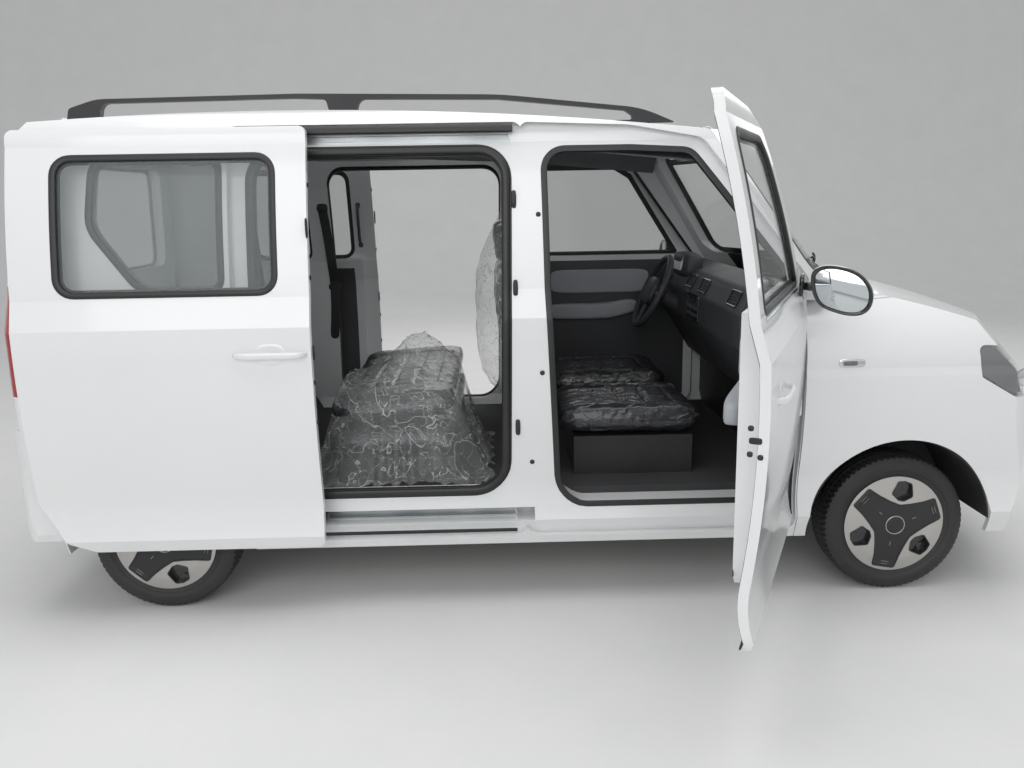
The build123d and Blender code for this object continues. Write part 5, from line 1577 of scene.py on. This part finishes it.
@dataclass
class BodyFittings(SubAssembly):
    """Small parts on the outside: markers, strikers, plugs, strips, wipers and plates."""

    def marker(self) -> Form:
        """The side marker: a lozenge standing a little off the fender."""
        return pillow((49, 7, 16), 0.45, 12, 28).moved((1107, 829, 921))

    def marker_lens(self) -> Form:
        """The marker's lens."""
        return pillow((27, 4, 9), 0.4, 10, 24).moved((1100, 834.5, 921))

    def strikers(self) -> Form:
        """Striker plates and plugs on the pillar behind the front door.

        Returns:
            All of them as one mesh.
        """
        parts = []
        for z, tall in ((1522, 34), (1208, 34), (700, 30)):
            out = float(SKIN.half(z)) - 30
            parts.append(pillow((9, 4, tall), 0.5, 12, 20).moved((-112, out, z)))
            parts.append(pillow((5, 8, 7), 0.7, 8, 14).moved((-112, out + 4, z - tall * 0.4)))
        for x, z in ((-20, 905), (-60, 560), (-25, 1470)):
            parts.append(pillow((9, 2.2, 9), 0.9, 8, 18).moved((x, float(SKIN.half(z)) - 31.8, z)))
        return joined(parts)

    def wiper(self, y: float, reach: float) -> Form:
        """An arm and blade lying on the windscreen's foot.

        Args:
            y: where the arm starts, across.
            reach: how far it goes across.

        Returns:
            Arm and blade as one form.
        """
        t = np.linspace(0, 1, 24)
        off = (SCREEN_RISE, 0, SCREEN_RUN)
        path = on_screen(y + reach * t, 1232 + 58 * np.sin(math.pi * 0.5 * t)) + [9, 0, 7]
        arm = carried(path[:17], off, bead(7, 4), closed=False)
        blade = carried(path[4:] - [0, 0, 12], off, bead(4, 5), closed=False)
        return arm + blade

    def build(self) -> None:
        """Makes every outside fitting."""
        put = self.shop.put
        for side in Side:
            word = side.word
            put("side_marker_" + word, self.marker(), CHROME, "chassis", "lamp_clear", side)
            put("marker_lens_" + word, self.marker_lens(), SMOKY_LENS, "chassis", "lamp_red", side)
            put("strikers_" + word, self.strikers(), TRIM_BLACK, "chassis", "black_trim", side)
            strips = (
                ("front_gap_seal", np.full(40, 920.0), np.linspace(330, 1180, 40), 32.5, bead(13, 1.2)),
                ("track_drip_rail", np.linspace(-1076, -112, 60), np.full(60, 1776.0), 6, bead(15, 9)),
                ("sill_strip", np.linspace(-960, -120, 60), np.full(60, 304.0), -1, bead(7, 4)),
            )
            for name, x, z, inward, section in strips:
                path, normal = SKIN.at(np.stack([x, z], 1), inward)
                strip = carried(path, normal, section, closed=False)
                put(f"{name}_{word}", strip, SEAL_BLACK, "chassis", "black_trim", side)
        put("wiper_left", self.wiper(330, -430), TRIM_BLACK, "chassis", "black_trim")
        put("wiper_right", self.wiper(-180, -370), TRIM_BLACK, "chassis", "black_trim")
        outline = rounded([(-225, -60), (225, -60), (225, 60), (-225, 60)], 10)
        front = plate(outline, 3, -2, 1.5).laid((0, 0, 0), [(0, 1, 0), (0, 0, 1), (1, 0, 0)])
        put("front_plate_blank", front.moved((1996, 0, 590)), PALE_PAD, "chassis", "white_paint")
        rear = plate(outline, 3, -2, 1.5).laid((0, 0, 0), [(0, -1, 0), (0, 0, 1), (-1, 0, 0)])
        put("rear_plate_blank", rear.moved((-1939, 0, 930)), PALE_PAD, "tailgate", "white_paint")
        grip = pillow((16, 250, 20), 0.35, 12, 40).moved((-1944, 0, 1035))
        put("tailgate_grip", grip, TRIM_BLACK, "tailgate", "black_trim")
        stop = pillow((9, 150, 11), 0.35, 12, 40).moved((-1884, 0, 1735))
        put("high_stop_lamp", stop, LAMP_RED, "tailgate", "lamp_red")


@dataclass
class Headlamps(SubAssembly):
    """What shows through the headlamp covers: housings and reflector bowls."""

    source: bpy.types.Object

    def housing(self) -> Array:
        """The covers' own points, as they stand in the row frame.

        Returns:
            The points, three numbers a row.
        """
        co = np.zeros(len(self.source.data.vertices) * 3, np.float32)
        self.source.data.vertices.foreach_get("co", co)
        return co.reshape(-1, 3).astype(float)

    def build(self) -> None:
        """Makes a shrunken dark copy of the covers, and bowls inside them."""
        points = self.housing()
        upper = points[:, 1] > self.shop.centre
        drawn = points.copy()
        for half in (upper, ~upper):
            low, high = points[half].min(0), points[half].max(0)
            middle = (low + high) / 2
            drawn[half] = middle + (points[half] - middle) * [0.90, 0.95, 0.88] - [0.008, 0, 0]
        mesh = self.source.data.copy()
        mesh.vertices.foreach_set("co", drawn.astype(np.float32).ravel())
        mesh.materials.clear()
        mesh.materials.append(LAMP_DARK.material())
        core = bpy.data.objects.new("lamp_housings", mesh)
        bpy.context.scene.collection.objects.link(core)
        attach(core, "chassis")
        self.shop.made.append(core.name)
        profile = [(0.0, -2), (20, -3), (34, 3), (42, 14), (44, 14), (36, 0), (22, -7), (0.0, -6)]
        bowl = np.array(profile) * 0.8
        for side in Side:
            half = points[(points[:, 1] - self.shop.centre) * side.value > 0] * 1000
            low, size = half.min(0), np.ptp(half, axis=0)
            forms = []
            outer = np.abs(half[:, 1] - self.shop.centre * 1000).max() - 0.04 * size[1] - 12
            for along, up in ((0.60, 0.66), (0.52, 0.36)):
                place = (low[0] + along * size[0], outer, low[2] + up * size[2])
                forms.append(turned(bowl, 40).laid(place, [(0.25, 0.97, 0), (-0.97, 0.25, 0), (0, 0, 1)]))
            self.shop.put("lamp_bowls_" + side.word, joined(forms), CHROME, "chassis", "lamp_clear", side)


# Cabin


@dataclass
class Seats(SubAssembly):
    """Front seats and rear bench: crowned pads in creased clear film."""

    def pad(
        self, name: str, outline: Array, thickness: float, origin: tuple, axes: list, seed: int, fill: float,
        nodes: tuple = (), lengthwise: float = 1.0,
    ) -> None:
        """One pad with sewn channels and creases.

        The face sinks along lines across the pad, and ridges of film rise
        by a few millimetres over all of it.

        Args:
            name: the piece's name.
            outline: the pad's edge in its own plane.
            thickness: full thickness.
            origin: where its middle stands.
            axes: directions of its x, y and z.
            seed: fixes the creases.
            fill: how tight the pad is; not used.
            nodes: CAD nodes that it stands for.
            lengthwise: how far creases run along the pad's x.
        """
        form = cushion(outline, thickness, 40, 0.42)
        points = form.points
        reach = np.abs(outline - outline.mean(0)).max(0)
        upper = step(points[:, 2], 0, thickness * 0.2)
        u, v = points[:, 0] / reach[0], points[:, 1] / reach[1]
        seams = sum(np.exp(-(((u - middle) / 0.022) ** 2)) for middle in (-0.45, -0.1, 0.25, 0.6))
        channels = seams * (np.abs(v) < 0.62)
        bolster = 13 * step(np.abs(v), 0.58, 0.8) * (1 - step(np.abs(v), 0.86, 1.0))
        welt = 6 * np.exp(-(((np.abs(v) - 0.62) / 0.02) ** 2))
        points[:, 2] += upper * (bolster - 6 * channels - welt)
        fold = creases(points * [0.35 / lengthwise, 1, 1], seed, 120, 2.2)
        points[:, 2] += np.sign(points[:, 2]) * 16 * (fold - 0.3)
        push = 8 * (creases(points, seed + 1, 90, 2.0) - 0.3) * step(np.hypot(u, v), 0.7, 1.0)
        points[:, :2] += unit(points[:, :2]) * push[:, None]
        piece = self.shop.put(name, form.laid(origin, axes), FILMED_CLOTH, "chassis", "upholstery", angle=70)
        if nodes:
            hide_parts(*nodes)

    def film(self, name: str, front: Array, thickness: float = 0.8) -> None:
        """A loose sheet of clear film, as two grids a hair apart.

        Args:
            name: the piece's name.
            front: the grid of its upper face.
            thickness: how far the lower face is set off.
        """
        back = front - np.array([thickness, thickness, thickness])
        self.shop.put(name, shell(front, back), CLEAR_FILM, "chassis", "window_glass", angle=60)

    def bag(self, name: str, centre: tuple, half: tuple, peak: float, seed: int) -> None:
        """A film bag: a creased superellipsoid drawn up to a point.

        Args:
            name: the piece's name.
            centre: its middle.
            half: half sizes along x, y and z.
            peak: how far its top is drawn up.
            seed: fixes the creases.
        """
        form = pillow(half, 0.7, 40, 64)
        points = form.points
        up = np.clip(points[:, 2] / half[2], 0, 1)
        points[:, :2] *= (1 - 0.55 * up**3)[:, None]
        away = np.hypot(points[:, 0] / half[0], points[:, 1] / half[1])
        points[:, 2] += peak * up**4 * np.exp(-(away**2) * 2)
        points += unit(points) * (22 * (creases(points, seed, 130, 2.0) - 0.3))[:, None]
        inner = Form(points - unit(points) * 0.8, [face[::-1] for face in form.faces])
        self.shop.put(name, (form + inner).moved(centre), CLEAR_FILM, "chassis", "window_glass", angle=60)

    def build(self) -> None:
        """Makes both front seats and the rear bench with their film."""
        back_up = np.array([-0.165, 0, 0.986])
        back_face = np.array([0.986, 0, 0.165])
        aside = np.array([0, 1, 0])
        upright, level = [back_up, aside, back_face], [(1, 0, 0), aside, (0, 0, 1)]
        rest = rounded([(-322, -225), (322, -205), (322, 205), (-322, 225)], 90, spacing=10)
        base = rounded([(-292, -228), (285, -238), (285, 238), (-292, 228)], 80, spacing=10)
        head = rounded([(-78, -112), (78, -120), (78, 120), (-78, 112)], 48, spacing=8)
        for number, (word, y) in enumerate((("right", -345), ("left", 345))):
            stands_for = ("front_seats",) if number == 0 else ()
            name = f"front_cushion_{word}"
            self.pad(name, base, 128, (350, y, 652), level, 11 + number, 0.6, stands_for, 1.6)
            self.pad(f"front_back_{word}", rest, 176, (-72, y, 938), upright, 21 + number, 0.7)
            self.pad(f"front_headrest_{word}", head, 108, (-132, y, 1352), upright, 31 + number, 0.8)
            posts = []
            for across in (y - 45, y + 45):
                line = np.array([[-106, across, 1255], [-118, across, 1300]], float)
                posts.append(carried(line, (1, 0, 0), bead(6, 6, 0, 1.0), closed=False))
            self.shop.put(f"headrest_posts_{word}", joined(posts), CHROME, "chassis", "steel_bare")
        self.bag("film_back_right", (-118, -345, 1100), (150, 262, 355), 60, 5)
        bench = rounded([(-255, -600), (255, -600), (255, 600), (-255, 600)], 70, spacing=14)
        folded = rounded([(-262, -590), (235, -575), (235, 575), (-262, 590)], 75, spacing=14)
        self.pad("bench_cushion", bench, 136, (-605, 0, 592), level, 41, 0.6, ("rear_bench",))
        lean, rise = unit(np.array([1.0, 0, 0.07])), unit(np.array([-0.07, 0, 1.0]))
        self.pad("bench_back", folded, 118, (-590, 0, 722), [lean, aside, rise], 43, 0.7)
        self.bench_film()

    def bench_film(self) -> None:
        """Film thrown over the bench's near end, held up in a blunt peak."""
        u, v = np.meshgrid(np.linspace(-1, 1, 110), np.linspace(-1, 1, 90), indexing="ij")
        far = (np.abs(u) ** 5 + np.abs(v) ** 5) ** 0.2
        drop = step(far, 0.72, 1.0)
        x = -585 + 330 * u + 40 * u * drop
        y = -330 + 330 * v + 30 * v * drop
        peak = 185 * np.exp(-((u - 0.25) ** 2 * 5 + (v - 0.1) ** 2 * 3))
        points = np.stack([x, y, 806 - 350 * drop**0.8 + peak], -1)
        fold = creases(points * [1.0, 1.0, 0.4], 77, 150, 1.8)
        ruffle = 16 * np.sin(23 * np.arctan2(v, u) + 3 * np.sin(5 * u)) * drop
        points = points + np.array([0, 0, 1.0]) * (45 * (fold - 0.3))[..., None]
        points[..., :2] += ruffle[..., None] * np.stack([u, v], -1)
        self.film("film_bench", points)


@dataclass
class Cabin(SubAssembly):
    """Dashboard dressing, wheel centre, visors, headlining and belts."""

    def face_axes(self) -> list:
        """Axes of the dash's upper face: along y, up the face, and out of it."""
        return [(0, 1, 0), (0.439, 0, 0.898), (-0.898, 0, 0.439)]

    def vent(self, y: float) -> tuple[Form, Form]:
        """A vent's frame and its slats.

        Args:
            y: its middle, across.

        Returns:
            Frame and slats.
        """
        outer = rounded([(-62, -30), (62, -30), (62, 30), (-62, 30)], 10, spacing=6)
        frame = carried(np.column_stack([outer, np.full(len(outer), 3.0)]), (0, 0, 1), bead(4, 3))
        slats = joined([pillow((56, 2, 6), 0.6, 8, 24).moved((0, level, 1)) for level in (-18, -6, 6, 18)])
        place = ((738, y, 1136), self.face_axes())
        return frame.laid(*place), slats.laid(*place)

    def build(self) -> None:
        """Makes the cabin's fittings."""
        put = self.shop.put
        frames, slats = zip(*(self.vent(y) for y in (-590, -120, 120, 590)))
        put("vent_frames", joined(list(frames)), GLOSS_BLACK, "chassis", "dash_grey")
        put("vent_slats", joined(list(slats)), TRIM_BLACK, "chassis", "dash_grey")
        hood = pillow((52, 150, 58), 0.5, 16, 36)
        put("cluster_hood", hood.moved((772, 370, 1196)), DASH_GREY, "chassis", "dash_grey")
        dial = plate(rounded([(-105, -34), (105, -34), (105, 34), (-105, 34)], 12, spacing=6), 2, -3, 1)
        dial = dial.laid((721, 370, 1206), [(0, -1, 0), (0.25, 0, 0.968), (-0.968, 0, 0.25)])
        put("cluster_screen", dial, SCREEN, "chassis", "dash_grey")
        centre = plate(rounded([(-115, -62), (115, -62), (115, 62), (-115, 62)], 10, spacing=6), 6, -3, 2)
        centre = centre.laid((717, 0, 1030), [(0, -1, 0), (0, 0, 1), (-1, 0, 0)])
        put("centre_panel", centre, GLOSS_BLACK, "chassis", "dash_grey")
        places = [(709, y, z) for y in range(-90, 91, 30) for z in (1000, 1030)]
        keys = joined([pillow((3, 13, 8), 0.4, 8, 16).moved(place) for place in places])
        put("switch_row", keys, DASH_GREY, "chassis", "dash_grey")
        tilt = math.radians(26)
        axis = np.array([math.cos(tilt), 0, -math.sin(tilt)])
        up = np.array([math.sin(tilt), 0, math.cos(tilt)])
        place = np.array([600, 370, 1065]) - axis * 10
        pad = pillow((70, 82, 22), 0.6, 16, 40).laid(place, [up, (0, 1, 0), axis])
        put("steering_pad", pad, DASH_GREY, "steering_wheel", "dash_grey")
        for side in Side:
            visor = cushion(rounded([(-75, -190), (75, -190), (75, 190), (-75, 190)], 25, spacing=9), 22, 10)
            visor.points[:, 2] += 5 * creases(visor.points, 3, 80, 2.0)
            lean = np.array([0.80, 0, -0.60])
            visor = visor.laid((690, 330, 1735), [lean, (0, 1, 0), (0.6, 0, 0.8)])
            piece = put("sun_visor_" + side.word, visor, CLEAR_PAD, "chassis", "dash_grey", side)
        self.headlining()
        self.belts()

    def headlining(self) -> None:
        """The lining: the roof's own crown, 45 mm lower, turned down at its sides."""
        u, v = np.meshgrid(np.linspace(0, 1, 40), np.linspace(-1, 1, 41), indexing="ij")
        x = -1720 + (640 + 1720) * u
        roof = np.interp(x, [-1830, -1300, -700, 0, 770], [1856, 1874, 1880, 1853, 1778])
        y = 640 * v
        crown = np.sqrt((roof + CROWN_DROP) ** 2 - y**2) - CROWN_DROP
        z = crown - 45 - 70 * step(np.abs(v), 0.8, 1.0)
        face = np.stack([x, y, z], -1)
        lining = shell(face, face + np.array([0, 0, 5]))
        self.shop.put("headlining", lining, HEADLINING, "chassis", "dash_grey")

    def belts(self) -> None:
        """The rear belts: webbing from an upper anchor to the floor, with a tongue."""
        for side in Side:
            t = np.linspace(0, 1, 40)
            z = 1490 - 900 * t
            x = -1075 + 40 * np.sin(math.pi * t) - 20 * t
            out = SKIN.half(z) - 78 - 25 * np.sin(math.pi * t)
            path = np.stack([x, out, z], 1)
            web = carried(path, (0, 1, 0), bead(24, 1.2), closed=False)
            anchor = pillow((30, 10, 26), 0.6).moved((-1075, float(SKIN.half(1495)) - 72, 1500))
            tongue = pillow((32, 6, 16), 0.5).moved((-1045, float(SKIN.half(1080)) - 98, 1080))
            belt = joined([web, anchor, tongue])
            self.shop.put("rear_belt_" + side.word, belt, TRIM_BLACK, "chassis", "upholstery", side)


# Studio


@dataclass
class Studio:
    """Floor, lamps, world and camera."""

    lens: float = 29.498
    yaw: float = math.radians(1.0972)
    pitch: float = math.radians(12.4746)
    roll: float = math.radians(-1.0010)
    eye: tuple = (-0.18858, -3.79942, 1.52761)
    centre: float = 0.0

    def camera(self) -> None:
        """The camera where the photographer stood: its axes from yaw, pitch and roll."""
        yaw, pitch, roll = self.yaw, self.pitch, self.roll
        ahead = np.array([math.sin(yaw) * math.cos(pitch), math.cos(yaw) * math.cos(pitch), -math.sin(pitch)])
        right = np.array([math.cos(yaw), -math.sin(yaw), 0])
        up = np.cross(right, ahead)
        turn = np.array([[math.cos(roll), math.sin(roll)], [-math.sin(roll), math.cos(roll)]])
        right, up = turn @ np.array([right, up])
        data = bpy.data.cameras.new("camera")
        data.lens, data.sensor_width, data.clip_end = self.lens, 36.0, 200.0
        camera = bpy.data.objects.new("camera", data)
        matrix = Matrix.Identity(4)
        for column, axis in enumerate((right, up, -ahead)):
            for row in range(3):
                matrix[row][column] = axis[row]
        matrix.translation = Vector(self.eye) + Vector((0, self.centre, 0))
        camera.matrix_world = matrix
        bpy.context.scene.collection.objects.link(camera)
        bpy.context.scene.camera = camera

    def floor(self) -> None:
        """A pale floor that sweeps up into the backdrop as a quarter circle."""
        v = np.concatenate(
            [np.linspace(-9, 7, 12), 7 + 4 * np.sin(np.linspace(0, math.pi / 2, 14)[1:]), [11.0]]
        )
        z = np.concatenate([np.zeros(12), 4 - 4 * np.cos(np.linspace(0, math.pi / 2, 14)[1:]), [14.0]])
        x = np.linspace(-16, 16, 12)
        grid = np.stack(np.broadcast_arrays(x[:, None], v[None, :], z[None, :]), -1)
        mesh = bpy.data.meshes.new("floor")
        mesh.from_pydata(grid.reshape(-1, 3).tolist(), [], grid_faces(*grid.shape[:2]))
        mesh.shade_smooth()
        floor = bpy.data.objects.new("studio_floor", mesh)
        bpy.context.scene.collection.objects.link(floor)
        mesh.materials.append(STUDIO_FLOOR.material())

    def lamp(self, name: str, place: tuple, size: tuple, power: float, aim: tuple = (0, 0.3, 0.8)) -> None:
        """A soft area lamp aimed at a point.

        Args:
            name: the lamp's name.
            place: where it stands, in metres.
            size: its two sides, in metres.
            power: its power in watts.
            aim: the point it looks at, in metres.
        """
        data = bpy.data.lights.new(name, "AREA")
        data.shape, data.size, data.size_y, data.energy = "RECTANGLE", *size, power
        lamp = bpy.data.objects.new(name, data)
        lamp.location = place
        lamp.rotation_euler = (Vector(aim) - Vector(place)).to_track_quat("-Z", "Y").to_euler()
        bpy.context.scene.collection.objects.link(lamp)

    def world(self) -> None:
        """An even pale world, brighter to the camera than as light."""
        world = bpy.data.worlds.new("world")
        bpy.context.scene.world = world
        world.use_nodes = True
        tree = world.node_tree
        shown = tree.nodes["Background"]
        shown.inputs["Color"].default_value = (0.80, 0.81, 0.82, 1)
        path = tree.nodes.new("ShaderNodeLightPath")
        total = path.outputs["Is Camera Ray"]
        for other in ("Is Glossy Ray", "Is Transmission Ray"):
            either = tree.nodes.new("ShaderNodeMath")
            either.operation = "MAXIMUM"
            tree.links.new(total, either.inputs[0])
            tree.links.new(path.outputs[other], either.inputs[1])
            total = either.outputs[0]
        spread = tree.nodes.new("ShaderNodeMapRange")
        spread.inputs["To Min"].default_value, spread.inputs["To Max"].default_value = 0.62, 0.95
        tree.links.new(total, spread.inputs["Value"])
        tree.links.new(spread.outputs["Result"], shown.inputs["Strength"])

    def build(self) -> None:
        """Sets up the whole studio."""
        self.camera()
        self.floor()
        self.world()
        self.lamp("lamp_top", (0, -0.6, 5.2), (5.5, 4.0), 120)
        self.lamp("lamp_near", (-1.2, -6.0, 3.4), (6.0, 3.0), 120)
        self.lamp("lamp_far", (1.5, 6.0, 3.6), (6.0, 3.0), 70)
        settings = bpy.context.scene.view_settings
        settings.view_transform = "Standard"


def main() -> None:
    """Loads the frame, builds every sub-assembly in order and reports each."""
    logging.basicConfig(level=logging.INFO, format="%(message)s")
    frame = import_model()
    low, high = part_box("roof_panel")
    shop = Workshop((low.y + high.y) / 2)
    Studio(centre=shop.centre).build()
    parts: list[SubAssembly] = [
        CadFinishes(shop, frame["nodes"]),
        WindowSeals(shop),
        WaySeals(shop),
        FrontDoorFittings(shop),
        SlidingDoorFittings(shop),
        *(Wheel(shop, corner) for corner in Corner),
        BodyFittings(shop),
        Headlamps(shop, frame["nodes"]["headlamps"]),
        Seats(shop),
        Cabin(shop),
    ]
    for part in parts:
        before = len(shop.made)
        part.build()
        for name in shop.made[before:]:
            LOG.info("%s: %s", type(part).__name__, name)


if __name__ == "__main__":
    main()
